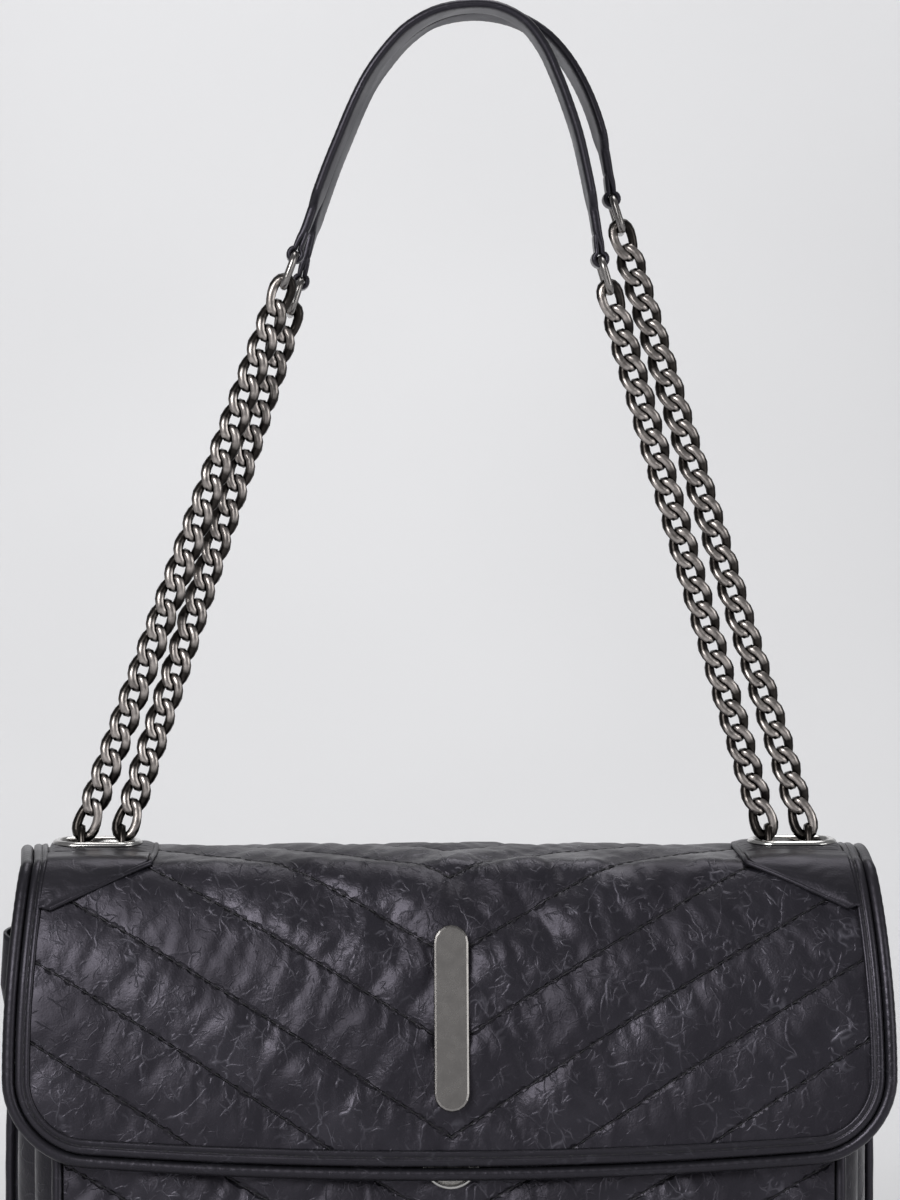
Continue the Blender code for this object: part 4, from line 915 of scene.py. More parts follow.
pocket, pocket_back = (grid_piece(
    name, pocket_form(half_thickness), np.linspace(-POCKET_HALF, POCKET_HALF, 61),
    np.linspace(POCKET_FOOT, POCKET_FOOT + POCKET_HEIGHT, 41), lining_cloth)
    for name, half_thickness in (("pocket_cloth", POCKET_SWELL), ("pocket_back", -POCKET_SWELL)))
both = bmesh.new()
both.from_mesh(pocket.data)
both.from_mesh(pocket_back.data)
bmesh.ops.remove_doubles(both, verts=both.verts, dist=0.00001)
both.to_mesh(pocket.data)
both.free()
bpy.data.objects.remove(pocket_back)
face_outward(pocket)
fit(pocket, "bag_body", "pocket_pouch")

# Zip
# Two tapes with metal teeth clamped on their edges, closed by a slider with a flat puller.
# The slider runs the length of the pocket's window.

TAPE_HALF = (0.075, 0.0052)
TEETH_HALF = 0.0715
TOOTH_PITCH = 0.0022

zip_rise = float((half_depth(ZIP_Z + 0.0005) - half_depth(ZIP_Z - 0.0005)) / 0.001)
zip_out = np.array((0.0, -1.0, zip_rise)) / math.hypot(1.0, zip_rise)
zip_up = np.array((0.0, zip_rise, 1.0)) / math.hypot(1.0, zip_rise)
zip_middle = np.array((0.0, float(half_depth(ZIP_Z)) - 0.0050, ZIP_Z + BASE_Z))


def on_zip(along, up, out):
    """Places points given along the zip, up the wall and out of it."""
    rows = np.stack(np.broadcast_arrays(along, up, out), -1)
    return zip_middle + rows @ np.array(((1.0, 0.0, 0.0), zip_up, zip_out))


zip_tape = thicken(grid_piece(
    "zip_tape_cloth", lambda x, y: on_zip(x, y, 0.00004 * np.cos(x * 2600.0)),
    *(np.linspace(-half, half, count) for half, count in zip(TAPE_HALF, (151, 9))),
    lining_cloth), 0.0005)
fit(zip_tape, "bag_body", "zip_tape")


def metal(name, dark, bright, rough):
    """Plated metal whose tone and gloss vary at random between dull and bright places, with fine
    scratches.
    """
    material, tree, where = start_material(name)
    worn = noise(tree, where, 260.0, 4.0, 0.6)
    surface(tree, {
        "Base Color": ramp(tree, worn, (0.30, dark), (0.66, bright)), "Metallic": 1.0,
        "Roughness": ramp(tree, worn, (0.3, rough + 0.05), (0.65, rough)),
        "Normal": bump(tree, noise(tree, where, 2400.0), 0.4, 0.00002)})
    return material


zip_metal = metal("Zip metal", (0.30, 0.29, 0.28), (0.50, 0.49, 0.47), 0.26)
TOOTH = {"Length": 0.0034, "Width": 0.0011, "Height": 0.0013,
         "Turn": math.atan2(-zip_rise, 1.0) + math.pi / 2}


def tooth_tree():
    """Waisted teeth, one on each point of a row."""
    tree, given = start_tree("Row of teeth", TOOTH)
    block = add(tree, "GeometryNodeMeshCube", {
        "Size": combined(tree, given["Width"], given["Length"], given["Height"]),
        "Vertices X": 3, "Vertices Y": 3, "Vertices Z": 2})
    x, y, z = add(tree, "ShaderNodeSeparateXYZ", {
        0: add(tree, "GeometryNodeInputPosition").outputs[0]}).outputs
    waist = maths(tree, "MULTIPLY", x, ranged(tree, y, -0.002, 0.002, 0.8, 1.15))
    tooth = add(tree, "GeometryNodeSetPosition", {
        "Geometry": block.outputs[0], "Position": combined(tree, waist, y, z)})
    made = copies(tree, given["Points"], tooth.outputs[0], Rotation=combined(tree, given["Turn"]))
    return end_tree(tree, made, given, smooth=False)


tooth_rows = []
for row, shift in ((-1, 0.0), (1, TOOTH_PITCH / 2)):
    along = np.arange(-TEETH_HALF + shift, TEETH_HALF, TOOTH_PITCH)
    tooth_rows.append(on_zip(along, row * TOOTH["Width"] / 2, 0.00125))
zip_teeth = grow("zip_teeth_rows", np.concatenate(tooth_rows), [], tooth_tree(),
                 {**TOOTH, "Finish": zip_metal})
fit(zip_teeth, "bag_body", "zip_teeth")
for node in ("zip_slider", "zip_puller"):
    recoat(node, zip_metal)

# Eyelets
# Oval turned eyelets that carry the chain through the top, over a smooth leather patch.
# Each is rolled over its patch outside and over a washer inside.

EYELET_SLOPE = 0.085
EYELET_POINTS = 72
PATCH_POINTS = 144
PATCH_LIFT = 0.0024
PATCH_HALF = (0.0170, 0.018)
PATCH_X = 0.1092
PATCH_HOLE = 0.0013
eyelet_metal = metal("Eyelet metal", (0.52, 0.51, 0.50), (0.74, 0.73, 0.71), 0.16)


def top_height(y):
    """Height above the base of the middle of the top leather."""
    return np.interp(y, *top_line[::-1].T)


def oval_ring(side, growth, count):
    angle = (np.arange(count) + 0.5) * 2 * np.pi / count
    radius = EYELET_WIDTH / 2 + growth
    x = np.copysign((EYELET_LENGTH - EYELET_WIDTH) / 2, np.cos(angle)) + radius * np.cos(angle)
    return np.stack([side * EYELET_X + x, EYELET_Y + radius * np.sin(angle)], -1)


EYELET_SEAT = float(top_height(EYELET_Y)) + 0.0031
eyelet_section = (
    (0.0028, -0.0002), (0.0028, 0.0004), (0.0026, 0.0008), (0.0021, 0.0012), (0.0016, 0.00140),
    (0.0010, 0.0013), (0.0005, 0.0009), (0.0001, 0.0002), (0.0000, -0.0012), (0.0000, -0.0060),
    (0.0008, -0.0064), (0.0008, -0.0012), (0.0012, -0.0002))
for side, label in SIDES:
    rings = []
    for growth, height in eyelet_section:
        ring = oval_ring(side, growth, EYELET_POINTS)
        lean = EYELET_SLOPE * (ring[:, 1] - EYELET_Y)
        rings.append(np.column_stack([ring, EYELET_SEAT + height + lean + BASE_Z]))
    faces = tube_faces(len(rings), EYELET_POINTS, closed=True)
    eyelet = make_piece(f"{label}_eyelet_ring", np.concatenate(rings), faces, eyelet_metal)
    fit(face_outward(eyelet), "bag_body", f"{label}_eyelet")
    recoat(f"{label}_eyelet_washer", eyelet_metal)

    middle = np.array((side * EYELET_X, EYELET_Y))
    hole = oval_ring(side, PATCH_HOLE, PATCH_POINTS)
    aim = hole - middle
    patch_edge = (side * PATCH_X, 0.0) + np.copysign(PATCH_HALF, aim) - (middle[0], 0.0)
    outer = middle + aim * (patch_edge / aim).min(1)[:, None]
    rings = []
    for share in np.linspace(0.0, 1.0, 26):
        ring = hole + (outer - hole) * share
        rise = 0.0009 * math.sin(math.pi * min(share * 1.1, 1.0)) ** 0.8
        rise -= 0.0007 * max(share - 0.92, 0) / 0.08
        broken = 0.5 + 0.5 * np.sin(ring[:, 0] * 530 + ring[:, 1] * 1300)
        wrinkle = np.sin(ring[:, 1] * 2300 + 4 * np.sin(ring[:, 0] * 230)) * broken
        height = top_height(ring[:, 1]) + PATCH_LIFT + rise
        height = height + 0.00013 * wrinkle * math.sin(math.pi * share)
        rings.append(np.column_stack([ring, height + BASE_Z]))
    faces = tube_faces(len(rings), PATCH_POINTS)[:-2]
    patch = make_piece(f"{label}_eyelet_leather", np.concatenate(rings), faces, smooth_leather)
    if patch.data.polygons[0].normal.z < 0:
        patch.data.flip_normals()
    thicken(patch, 0.0014, -1.0)
    fit(patch, "bag_body", f"{label}_eyelet_patch")

# Chain
# Curb links of round wire, each twisted a quarter turn and ground flat on both faces.
# Two runs join the eyelets under the top, and four more come down from the strap.

WIRE = 0.0032
INNER_WIRE = 0.0026
LINK_WIDTH = 0.0063
LINK_NOMINAL = 0.0108
GROUND_FLAT = 0.0018
CHAIN_PITCH = 0.0083
INNER_OVERLAP = 0.0018
INNER_STRETCH = 0.0005
RUN_SPACING = 0.0128
RUN_SHIFT = 0.0014
PIVOT_Z = EYELET_SEAT + 0.0021 + BASE_Z
CREST_Z = PIVOT_Z + 0.0022 * math.sqrt(0.5) + 0.0014
UPPER_RUN_Z = float(top_height(EYELET_Y)) - 0.0090 + BASE_Z
RUN_DROP = 0.0086

# Chain finish: the link sides stay near black, dark gunmetal deepened into painted shade; the
# ground facets are mixed toward a bright colour, which is partly rubbed plating and partly a
# painted highlight.
chain_gunmetal = metal("Chain gunmetal", (0.018, 0.016, 0.015), (0.055, 0.049, 0.045), 0.28)
tree = chain_gunmetal.node_tree
where = add(tree, "ShaderNodeTexCoord").outputs["Object"]
dark = tree.nodes["Principled BSDF"].inputs["Base Color"].links[0].from_socket
ground = add(tree, "ShaderNodeAttribute", attribute_name="rubbed_and_highlight").outputs["Fac"]
blotch = ramp(tree, noise(tree, where, 420.0, 3.0), (0.32, 0.45), (0.55, 1.0))
bright = maths(tree, "MULTIPLY", blotch, ramp(tree, ground, (0.50, 0.0), (0.90, 1.0)))
surface(tree, {"Base Color": mix(tree, bright, dark, (0.48, 0.44, 0.415))})


def chain_tree():
    """Links from a row of points, each laid along its own axis and twisted from end to end."""
    tree, given = start_tree("Curb links", {
        "Wire": WIRE, "Width": LINK_WIDTH, "Length": LINK_NOMINAL, "Ground Flat": GROUND_FLAT})

    def calc(operation, *values):
        return maths(tree, operation, *values)

    def times(*values):
        return maths(tree, "MULTIPLY", *values)

    def attribute(label, kind="FLOAT"):
        node = add(tree, "GeometryNodeInputNamedAttribute", {"Name": label}, data_type=kind)
        return node.outputs["Attribute"]

    here = add(tree, "GeometryNodeInputPosition").outputs[0]
    circle = add(tree, "GeometryNodeCurvePrimitiveCircle", {"Resolution": 18, "Radius": 1.0})
    x, y, _ = add(tree, "ShaderNodeSeparateXYZ", {0: here}).outputs
    fuller = times(calc("SIGN", x), calc("POWER", calc("ABSOLUTE", x), 0.82))
    oval = combined(tree, times(fuller, times(given["Width"], 0.5)), 0.0,
                    times(calc("ADD", y, 1.0), times(given["Length"], 0.5)))
    shape = add(tree, "GeometryNodeSetPosition", {"Geometry": circle.outputs[0], "Position": oval})
    section = add(tree, "GeometryNodeCurvePrimitiveCircle", {
        "Resolution": 6, "Radius": times(given["Wire"], 0.5)})
    swept = add(tree, "GeometryNodeCurveToMesh", {
        "Curve": shape.outputs[0], "Profile Curve": section.outputs[0]})
    kept = add(tree, "GeometryNodeCaptureAttribute")
    kept.capture_items.new("VECTOR", "Own Place")
    fill(tree, kept, {"Geometry": swept.outputs[0], "Own Place": here})
    links = copies(tree, given["Points"], kept.outputs["Geometry"])

    own_x, own_y, own_z = add(tree, "ShaderNodeSeparateXYZ", {
        0: kept.outputs["Own Place"]}).outputs
    length = attribute("length")
    middle = ranged(tree, own_z, times(given["Length"], 0.35), times(given["Length"], 0.65))
    along = calc("ADD", own_z, times(calc("SUBTRACT", length, given["Length"]), middle))
    turn = ranged(tree, along, 0.0, length, attribute("turn_start"), attribute("turn_end"))
    cosine, sine = calc("COSINE", turn), calc("SINE", turn)
    across = calc("SUBTRACT", times(own_x, cosine), times(own_y, sine))
    depth = calc("ADD", times(own_x, sine), times(own_y, cosine))
    limit = times(given["Ground Flat"], attribute("flat"))
    # Marks the ground facets for the chain finish's bright colour, which is partly rubbed plating
    # and partly a painted highlight.
    rubbed_and_highlight = ranged(tree, calc("ABSOLUTE", depth), times(limit, 0.55), times(limit, 0.95))
    marked = add(tree, "GeometryNodeStoreNamedAttribute", {
        "Geometry": links, "Name": "rubbed_and_highlight", "Value": rubbed_and_highlight}, data_type="FLOAT", domain="POINT")
    depth = calc("MAXIMUM", calc("MINIMUM", depth, limit), times(limit, -1.0))
    place = attribute("origin", "FLOAT_VECTOR")
    for label, amount in (("side", across), ("face", depth), ("axis", along)):
        part = add(tree, "ShaderNodeVectorMath", {
            0: attribute(label, "FLOAT_VECTOR"), "Scale": amount}, operation="SCALE").outputs[0]
        place = add(tree, "ShaderNodeVectorMath", {0: place, 1: part}, operation="ADD").outputs[0]
    laid = add(tree, "GeometryNodeSetPosition", {"Geometry": marked.outputs[0], "Position": place})
    return end_tree(tree, laid.outputs[0], given)


curb_links = chain_tree()


def link_frame(axis):
    """Length, side and face directions of a link whose length lies along axis."""
    axis = Vector(axis).normalized()
    face = axis.cross(Vector((0, 1, 0)).cross(axis)).normalized()
    return axis, face.cross(axis), face


def chain_piece(name, rows, body, node, wire):
    """Chain from rows of (origin, axis, length, first turn, last turn, flatness)."""
    origins, axes, lengths, first_turns, last_turns, flats = zip(*rows)
    axes, sides, faces = zip(*(link_frame(axis) for axis in axes))
    vectors = {"origin": origins, "axis": axes, "side": sides, "face": faces}
    numbers = {"length": lengths, "turn_start": np.radians(first_turns),
               "turn_end": np.radians(last_turns), "flat": flats}
    attributes = [(label, "FLOAT_VECTOR", rows) for label, rows in vectors.items()]
    attributes += [(label, "FLOAT", rows) for label, rows in numbers.items()]
    values = {"Finish": chain_gunmetal, "Wire": wire}
    links = face_outward(grow(name, origins, [], curb_links, values, attributes))
    fit(links, body, node)


def pivot(side, outer):
    """Where a run of chain stands in an eyelet."""
    offset = RUN_SPACING / 2 if outer else -RUN_SPACING / 2
    return Vector((side * (EYELET_X - RUN_SHIFT + offset), EYELET_Y, PIVOT_Z))


for name, outer, height in (("upper_inner_chain", False, UPPER_RUN_Z),
                            ("lower_inner_chain", True, UPPER_RUN_Z - RUN_DROP)):
    left, right = (pivot(side, outer).x for side, _ in SIDES)
    rows = [((left, EYELET_Y, CREST_Z), (0, 0, -1), CREST_Z - height, 90, 90, 3.0)]
    count = round((right - left + INNER_OVERLAP) / CHAIN_PITCH)
    pitch = (right - left + INNER_OVERLAP) / count
    start = left - INNER_OVERLAP - INNER_STRETCH
    for index in range(count):
        first = 0 if index == 0 else 45
        last = -45 if index == 0 else 0 if index == count - 1 else 135
        rows.append(((start + pitch * index, EYELET_Y, height), (1, 0, 0),
                     pitch + INNER_OVERLAP + 2 * INNER_STRETCH, first, last, 3.0))
    rows.append(((right, EYELET_Y, CREST_Z), (0, 0, -1), CREST_Z - height, 90, 90, 3.0))
    chain_piece(f"{name}_links", rows, "bag_body", name, INNER_WIRE)

# Shoulder straps
# Two bands of black leather lined with smooth leather, whose pale grey is a painted sheen, stitched
# along both edges.
# Each end narrows, folds round an oblong link and is sewn back on itself.

STRAP_WIDTH = 0.018
STRAP_THICKNESS = 0.003
STRAP_SEAM = 0.0072
NECK_WIDTH = 0.009
NECK_THICKNESS = 0.0016
NECK_LENGTH = 0.017
NECK_OFFSET = NECK_THICKNESS / 2 + 0.00005
END_WIRE = 0.0024
END_WIDTH = 0.0136
END_LENGTH = 0.0108
END_CORNER = 0.0030
FOLD_RADIUS = END_WIRE / 2 + 0.0001 + NECK_THICKNESS / 2
JOIN = 0.0086
FIRST_LINK = 0.0080
STRAP_STITCH = {"Pitch": 0.0030, "Length": 0.0023, "Thickness": 0.0004}
aged_gunmetal = metal("Aged gunmetal", (0.29, 0.277, 0.268), (0.335, 0.32, 0.308), 0.24)
# The lining's pale grey is a painted sheen: it stands in for the light that the underside catches
# at a grazing angle.
strap_leather, strap_lining_sheen = (
    leather(name, "Object", deep, pale, ((300.0, 0.0, 0.4, 0.06, 0.2),), 40.0, 0.00004, rough)
    for name, deep, pale, rough in (
        ("Strap leather", (0.008, 0.008, 0.010), (0.040, 0.040, 0.045), 0.30),
        ("Strap lining with painted sheen", (0.075, 0.077, 0.084), (0.150, 0.152, 0.160), 0.42)))


def strap_course(stations):
    """Smooth line through stations given in millimetres, with its length up to each point."""
    stations = np.array(stations) / 1000
    distance = walk(stations)
    slopes = np.gradient(stations, distance, axis=0)
    reach = np.linspace(0.0, distance[-1], 241)
    at = np.clip(np.searchsorted(distance, reach) - 1, 0, len(stations) - 2)
    gap = (distance[at + 1] - distance[at])[:, None]
    t = ((reach - distance[at]) / gap[:, 0])[:, None]
    line = ((2 * t ** 3 - 3 * t ** 2 + 1) * stations[at]
            + (t ** 3 - 2 * t ** 2 + t) * gap * slopes[at]
            + (3 * t ** 2 - 2 * t ** 3) * stations[at + 1]
            + (t ** 3 - t ** 2) * gap * slopes[at + 1])
    return line, reach


def neck_line(anchor, along, side):
    """Line and thicknesses of the fold at a strap's end, round the link and back, tail last."""
    rows = [(0.0002, 0.0070, 0.0027), (NECK_OFFSET * 0.8, 0.0053, 0.0021),
            (NECK_OFFSET, 0.0038, 0.0017)]
    rows += [(FOLD_RADIUS * math.cos(angle), FOLD_RADIUS * math.sin(angle), NECK_THICKNESS)
             for angle in np.radians(np.linspace(66, -246, 17))]
    rows += [(-NECK_OFFSET, 0.0038, NECK_THICKNESS), (-NECK_OFFSET, 0.0056, NECK_THICKNESS),
             (-NECK_OFFSET, 0.0072, 0.0014), (-0.0006, 0.0086, 0.0007)]
    rows = np.array(rows)
    outward = np.array((-along[1], along[0]))
    outward = outward * math.copysign(1.0, outward[0] * side)
    return anchor + outward * rows[:, :1] - along * rows[:, 1:2], rows[:, 2]


def twisted(across, up, twist):
    """Distances (out of the arch, back) of a place on the band after it has twisted."""
    cosine, sine = np.cos(twist), np.sin(twist)
    return up * cosine - across * sine, across * cosine + up * sine


band_half = np.array(((1.0, -0.35), (1.0, 0.35), (0.93, 0.80), (0.80, 0.97), (0.5, 1.0), (0.0, 1.0),
                      (-0.5, 1.0), (-0.80, 0.97), (-0.93, 0.80)))
band_across, band_up = np.concatenate([band_half, -band_half]).T
LINED_FACES = {12, 13, 14, 15}


def strap_band(name, y, line, widths, thicknesses, twists):
    """Band with rounded edges along a line in the arch's plane, twisted to show its lining."""
    out = directions(line)[:, ::-1] * (-1, 1)
    out *= np.sign(out[len(out) // 2, 1])
    rings = []
    for point, normal, width, thickness, twist in zip(line, out, widths, thicknesses, twists):
        outward, back = twisted(band_across * width / 2, band_up * thickness / 2, twist)
        x, z = point[:, None] + normal[:, None] * outward
        rings.append(np.stack([x, y + back, z + BASE_Z], -1))
    size = len(band_across)
    band = face_outward(make_piece(
        name, np.concatenate(rings), tube_faces(len(line), size), strap_leather))
    # The underside faces take the lining, painted pale grey as sheen.
    band.data.materials.append(strap_lining_sheen)
    for index, polygon in enumerate(band.data.polygons):
        if index < (len(line) - 1) * size and index % size in LINED_FACES:
            polygon.material_index = 1
    return band, out


def end_link(name, anchor, axis, node):
    """Oblong link of round wire in the strap's fold."""
    axis, side, face = link_frame(axis)
    u, s = END_WIDTH / 2 - END_CORNER, END_LENGTH - END_CORNER
    path = np.array(rounded(((u, s), (-u, s), (-u, END_CORNER), (u, END_CORNER)), END_CORNER, 7))
    ahead = np.roll(path, -1, axis=0) - np.roll(path, 1, axis=0)
    ahead /= np.linalg.norm(ahead, axis=1)[:, None]
    points = []
    for (u, s), (du, ds) in zip(path, ahead):
        for angle in np.arange(10) * 2 * math.pi / 10:
            out, up = math.cos(angle) * END_WIRE / 2, math.sin(angle) * END_WIRE / 2
            points.append(anchor + face * (u + ds * out) + axis * (s - du * out) + side * up)
    link = make_piece(name, points, tube_faces(len(path), 10, closed=True), aged_gunmetal)
    fit(face_outward(link), "carrying_strap", node)


straps = (
    ("front", -0.010, (-1,), (5.5, 0.5), (
        (-48.1, 387.7), (-44.4, 397.1), (-40.9, 406.5), (-37.4, 415.9), (-33.6, 425.2),
        (-29.7, 434.5), (-25.2, 443.5), (-19.5, 451.7), (-12.6, 459.0), (-4.1, 464.3), (5.6, 466.7),
        (15.5, 466.2), (24.4, 461.7), (30.6, 454.0), (34.9, 444.9), (38.5, 435.5), (41.6, 425.9),
        (43.9, 416.1), (45.9, 406.3), (47.6, 396.4), (48.8, 386.4))),
    ("rear", 0.010, (1,), (6.5, 3.5), (
        (-46.2, 380.4), (-44.1, 389.9), (-41.5, 399.4), (-38.4, 408.6), (-35.1, 417.8),
        (-31.4, 426.9), (-27.6, 436.0), (-23.5, 444.4), (-18.1, 452.0), (-11.6, 458.8),
        (-3.9, 464.0), (5.4, 466.7), (15.1, 466.9), (24.5, 464.4), (32.4, 459.5), (38.8, 452.6),
        (43.8, 444.5), (47.7, 435.7), (50.6, 426.3), (52.6, 416.8), (53.9, 407.1))))
for label, y, outer_sides, turns, stations in straps:
    course, reach = strap_course(stations)
    from_end = np.minimum(reach, reach[-1] - reach)
    body = from_end > JOIN
    crown = reach[-1] / 2
    ends = []
    for (side, end), first, inner in zip(SIDES, (0, -1), (6, -7)):
        along = course[first] - course[inner]
        ends.append((side, end, course[first], along / np.linalg.norm(along)))
    (left_neck, left_thick), (right_neck, right_thick) = (
        neck_line(anchor, along, side) for side, _, anchor, along in ends)
    neck = len(left_neck)
    line = np.concatenate([left_neck[::-1], course[body], right_neck])
    thicknesses = np.concatenate([
        left_thick[::-1], np.full(body.sum(), STRAP_THICKNESS), right_thick])
    shoulder = np.clip((from_end[body] - NECK_LENGTH + 0.001) / 0.0045, 0.0, 1.0) ** 0.7
    widths = np.pad(NECK_WIDTH + (STRAP_WIDTH - NECK_WIDTH) * shoulder, neck,
                    constant_values=NECK_WIDTH)
    down = np.abs(reach[body] - crown) / (crown - NECK_LENGTH)
    turned = np.where(reach[body] < crown, *turns) * np.clip(down / 0.25, 0.0, 1.0)
    twists = np.pad(np.radians(turned * np.clip((1.10 - down) / 0.12, 0.0, 1.0)), neck)
    band, out = strap_band(f"{label}_strap_leather", y, line, widths, thicknesses, twists)
    fit(band, "carrying_strap", f"{label}_shoulder_strap")
    paths = []
    sewn = slice(neck + 16, neck + body.sum() - 16)
    for across in (-STRAP_SEAM, STRAP_SEAM):
        for up in (-STRAP_THICKNESS / 2 + 0.0002, STRAP_THICKNESS / 2 - 0.0002):
            outward, back = twisted(across, up, twists)
            place = line + out * outward[:, None]
            paths.append(np.stack([place[:, 0], y + back, place[:, 1] + BASE_Z], -1)[sewn])
    fit(sew(f"{label}_strap_stitches", paths, STRAP_STITCH), "carrying_strap")

    for side, end, (x, z), _ in ends:
        name = f"{label}_{end}"
        anchor = Vector((x, y, z + BASE_Z))
        foot = pivot(side, side in outer_sides)
        axis = (foot - anchor).normalized()
        end_link(f"{name}_oblong_link", anchor, axis, f"{name}_end_link")
        start = anchor + axis * FIRST_LINK
        overlap = WIRE - 0.0001
        count = round(((foot - start).length - overlap) / CHAIN_PITCH)
        pitch = ((foot - start).length - overlap) / count
        rows = [(start + axis * (pitch * index), axis, pitch + overlap, 45 if index else 0,
                 -45 if index < count - 1 else 0, 1.0) for index in range(count)]
        chain_piece(f"{name}_links", rows, "carrying_strap", f"{name}_chain", WIRE)

# Snap
# A magnetic snap: a round socket riveted to the front panel, and its stud inside the flap.
# Both are bright metal with a turned rim, and both lean with the front panel.

SNAP_LEAN = math.radians(5.4)
SNAP_POINTS = 48
snap_angles = np.arange(SNAP_POINTS) * 2 * math.pi / SNAP_POINTS
snap_across = Vector((1.0, 0.0, 0.0))
snap_out = Vector((0.0, -math.cos(SNAP_LEAN), math.sin(SNAP_LEAN)))
snap_up = Vector((0.0, math.sin(SNAP_LEAN), math.cos(SNAP_LEAN)))

for name, node, body, section in (
        ("snap_socket_ring", "snap_socket", "bag_body", (
            (0.0005, -0.00085), (0.0082, -0.00085), (0.0088, -0.0006), (0.0090, -0.0001),
            (0.0089, 0.0004), (0.0085, 0.0008), (0.0080, 0.00085), (0.0076, 0.0006),
            (0.0073, 0.0003), (0.0046, 0.0003), (0.0042, 0.0006), (0.0036, 0.0007),
            (0.0032, 0.0004), (0.0032, -0.0006), (0.0005, -0.0006))),
        ("snap_stud_button", "snap_stud", "flap", (
            (0.0005, -0.0018), (0.0021, -0.0018), (0.0025, -0.0014), (0.0025, 0.0000),
            (0.0055, 0.0000), (0.0060, 0.0002), (0.0062, 0.0006), (0.0060, 0.0010),
            (0.0055, 0.00125), (0.0005, 0.00130)))):
    low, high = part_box(node)
    middle = (Vector(low) + Vector(high)) / 2
    points = [middle + snap_across * math.cos(angle) * radius
              + snap_up * math.sin(angle) * radius + snap_out * height
              for radius, height in section for angle in snap_angles]
    disc = make_piece(name, points, tube_faces(len(section), SNAP_POINTS), eyelet_metal)
    fit(face_outward(disc), body, node)

# Flap edge
# A band of smooth leather is folded over the flap's sides and hem and sewn down along one row.
# A rolled piping runs outside it, and smooth corner pieces cover its upper ends.

BAND_WIDTH = 0.0041
PIPE = 0.0020
CORNER_START = -0.0070
CORNER_END = 0.0172
CORNER_PIPE = 0.0009
CORNER_WIDTH = 0.0945


def side_edge(s):
    """Half width of the flap, and of the top and back behind it."""
    behind_fold = TOP_EDGE + (BACK_EDGE - TOP_EDGE) * np.clip(s / BACK_FOLD_S, 0.0, 1.0)
    return np.where(s < 0.0, behind_fold, flap_half_width(s))


def flap_line_at(inset, height):
    """Line from the right end of the back's top, round the flap and back on the left."""
    straight = FLAP_LENGTH - FLAP_CORNER
    radius = FLAP_CORNER - inset
    x = flap_half_width(FLAP_LENGTH) - FLAP_CORNER
    s = np.linspace(BACK_FOLD_S, straight, 150)
    angle = np.linspace(0, np.pi / 2, 24)[1:]
    right = np.concatenate([
        np.stack([side_edge(s) - inset, s], -1),
        np.stack([x + radius * np.cos(angle), straight + radius * np.sin(angle)], -1),
        np.stack([np.linspace(x, 0, 110)[1:], np.full(109, straight + radius)], -1)])
    outline = np.concatenate([right, right[-2::-1] * (-1, 1)])
    return shell_form(*outline.T, np.full(len(outline), height))


band_section = (
    (-0.0006, -0.0014), (-0.0004, 0.0006), (0.0004, 0.0011), (0.0012, 0.0012), (0.0018, 0.0010),
    (0.0021, 0.0006), (0.0024, 0.0010), (0.0032, 0.0013), (0.0038, 0.0012), (BAND_WIDTH, 0.0006),
    (BAND_WIDTH, -0.0012))
band_rows = [flap_line_at(inset, height) for inset, height in band_section]
count = len(band_rows[0])
band_faces = [(a, a + 1, a + count + 1, a + count) for row in range(len(band_rows) - 1)
              for a in range(row * count, (row + 1) * count - 1)]
flap_band = make_piece("flap_band", np.concatenate(band_rows), band_faces, smooth_leather)
if flap_band.data.polygons[len(band_rows) // 2 * (count - 1) + count // 2].normal.y > 0:
    flap_band.data.flip_normals()
fit(flap_band, FOLD)
fit(sew("band_stitches", [flap_line_at(0.0021, 0.0007)]), FOLD)
edge_roll = roll("flap_edge_roll", flap_line_at(-0.0026, -0.0011), PIPE, 14, 0.04)
fit(edge_roll, FOLD, "flap_binding")


def corner_inner(s):
    """Distance from the middle to the corner leather's slanting inner edge."""
    slant = np.where(s < 0.0022, 0.05 * np.minimum(s, 0.0), (s - 0.0022) * 0.0315 / 0.0150)
    return CORNER_WIDTH + slant


def corner_form(side):
    def form(u, v):
        s = CORNER_START + (CORNER_END - CORNER_START) * v
        outer = side_edge(s) - BAND_WIDTH + 0.0004
        inner = np.minimum(corner_inner(s), outer - 0.0003)
        swell = 0.0005 + 0.00005 * np.sin(s * 2300 + 3 * np.sin(u * 7))
        return shell_form(
            side * (outer + (inner - outer) * u), s, 0.0011 + swell * np.sin(np.pi * u))
    return form


for side, label in SIDES:
    corner = thicken(grid_piece(
        f"{label}_corner_leather", corner_form(side), np.linspace(0, 1, 49),
        np.linspace(0, 1, 37), smooth_leather, flip=side > 0), 0.0010, -1.0)
    fit(corner, FOLD, f"{label}_flap_patch")
    s = np.concatenate([np.linspace(-0.026, 0.0012, 30), np.linspace(0.0016, CORNER_END, 40)])
    x = corner_inner(s) - 0.0008
    x[:30] -= 0.0006 * np.sin(np.linspace(0, np.pi, 30))
    line = shell_form(side * x, s, np.full(len(s), 0.0012))
    fit(roll(f"{label}_corner_roll", line, CORNER_PIPE), FOLD,
        f"{label}_patch_piping")


def flap_lining_form(u, s):
    return shell_form(u * flap_corner_edge(s, 0.004), s, np.full(np.shape(s), -0.0029))


flap_lining = thicken(grid_piece(
    "flap_lining_cloth", flap_lining_form, np.linspace(-1, 1, 91),
    np.linspace(0.014, FLAP_LENGTH - 0.0041, 51), lining_cloth), 0.0007)
fit(flap_lining, "flap", "flap_lining")

# Bar on the flap
# A plain round-ended bar of aged metal on the flap's middle.
# It is held by two riveted posts with washers inside.

for node in ("flap_ornament", "upper_ornament_washer", "lower_ornament_washer"):
    recoat(node, aged_gunmetal)

# Studio
# A pale cove with soft lamps, whose paper is clear from behind so that the bag's back can be seen.
# The camera stands level, a little to the left of the bag.

COVE_BEND = 0.8
COVE_START = 1.8
COVE_TOP = 2.6
CAMERA_DISTANCE = 1.6
CAMERA_ASIDE = 0.00145
CAMERA_Z = -0.1895
CAMERA_TURN = math.radians(2.3)

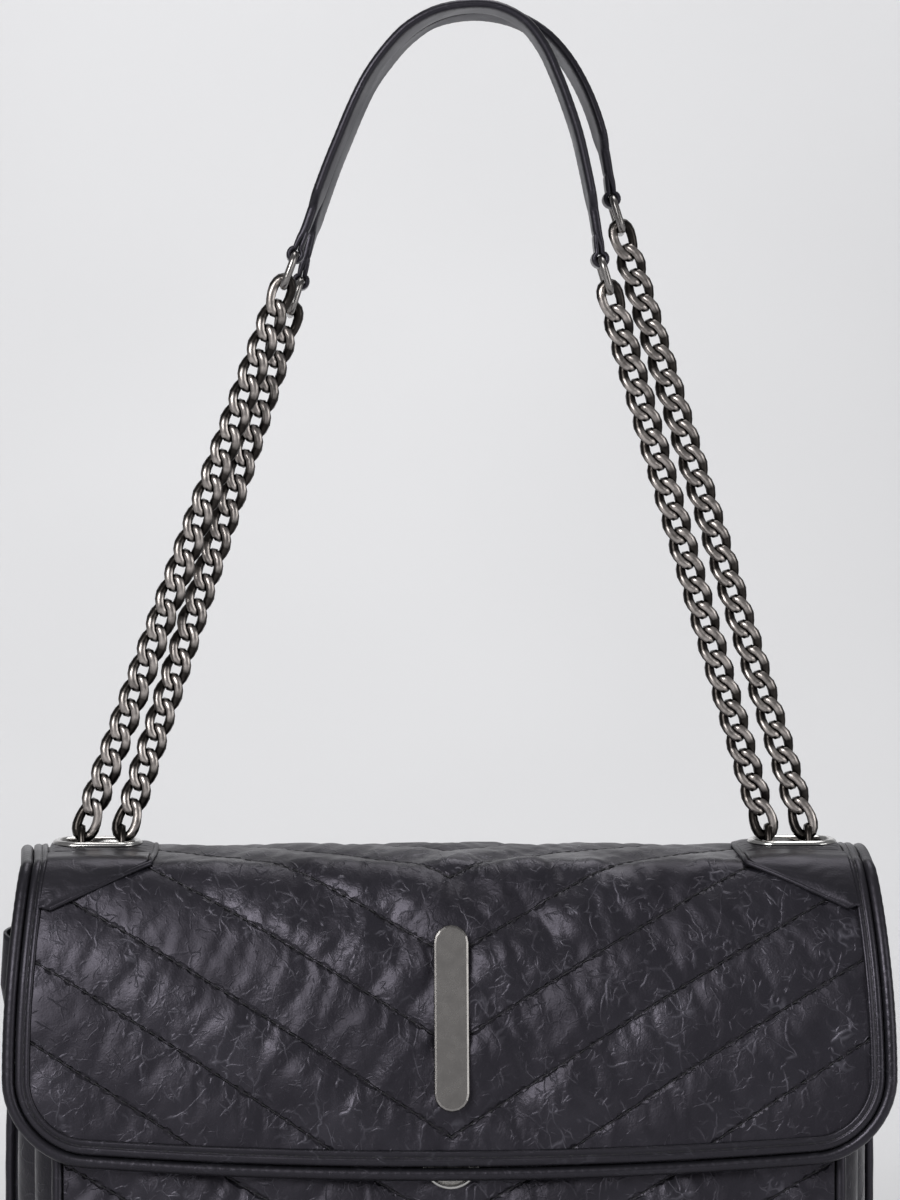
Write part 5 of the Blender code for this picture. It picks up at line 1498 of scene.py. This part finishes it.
cove_profile = [(-1.6, 0.0), (COVE_START, 0.0)]
cove_profile += [(COVE_START + COVE_BEND * math.sin(a), COVE_BEND - COVE_BEND * math.cos(a))
                 for a in np.linspace(0, math.pi / 2, 24)[1:]]
cove_profile += [(COVE_START + COVE_BEND, COVE_TOP)]
cove_points = [(x, y, z + BASE_Z) for y, z in cove_profile for x in (-3.0, 3.0)]
cove_faces = [(i, i + 1, i + 3, i + 2) for i in range(0, 2 * len(cove_profile) - 2, 2)]
paper, tree, where = start_material("Backdrop paper")
surface(tree, {"Roughness": 0.95, "Base Color": ramp(
    tree, noise(tree, where, 3.0, 1.0), (0.3, (0.70, 0.70, 0.71)), (0.7, (0.73, 0.73, 0.74)))})
clear_behind = add(tree, "ShaderNodeMixShader", {
    "Fac": add(tree, "ShaderNodeNewGeometry").outputs["Backfacing"],
    1: tree.nodes["Principled BSDF"].outputs["BSDF"],
    2: add(tree, "ShaderNodeBsdfTransparent").outputs["BSDF"]})
fill(tree, tree.nodes["Material Output"], {"Surface": clear_behind.outputs["Shader"]})
make_piece("backdrop", cove_points, cove_faces, paper)

world = bpy.data.worlds.new("Studio")
scene.world = world
world.use_nodes = True
fill(world.node_tree, world.node_tree.nodes["Background"], {
    "Color": (0.80, 0.80, 0.82), "Strength": 0.25})
scene.view_settings.view_transform = "Standard"


def place_object(name, data, place):
    thing = bpy.data.objects.new(name, data)
    scene.collection.objects.link(thing)
    thing.location = place
    return thing


for name, place, target, size, power in (
        ("key", (-0.75, -1.6, 0.45), (0.0, 0.0, -0.30), 0.8, 20.0),
        ("fill", (1.4, -0.9, 0.0), (0.0, 0.0, -0.30), 0.9, 5.0),
        ("top", (0.2, 0.3, 1.2), (0.0, 0.0, -0.25), 0.9, 9.0),
        ("backdrop", (-0.12, 1.0, 1.35), (0.03, 2.6, 0.60), 1.0, 28.8)):
    lamp = bpy.data.lights.new(name, "AREA")
    lamp.shape = "SQUARE"
    lamp.size, lamp.energy = size, power
    aim = Vector(target) - Vector(place)
    place_object(name, lamp, place).rotation_euler = aim.to_track_quat("-Z", "Y").to_euler()

camera = bpy.data.cameras.new("camera")
camera.lens = 150.0
camera.sensor_width = camera.sensor_height = 36.0
camera.sensor_fit = "AUTO"
camera.clip_end = 20.0
toward = Vector((math.sin(CAMERA_TURN), math.cos(CAMERA_TURN), 0.0))
aside = Vector((math.cos(CAMERA_TURN), -math.sin(CAMERA_TURN), 0.0)) * CAMERA_ASIDE
scene.camera = place_object("camera", camera, aside - toward * CAMERA_DISTANCE)
scene.camera.location.z = CAMERA_Z
scene.camera.rotation_euler = (math.pi / 2, 0.0, -CAMERA_TURN)
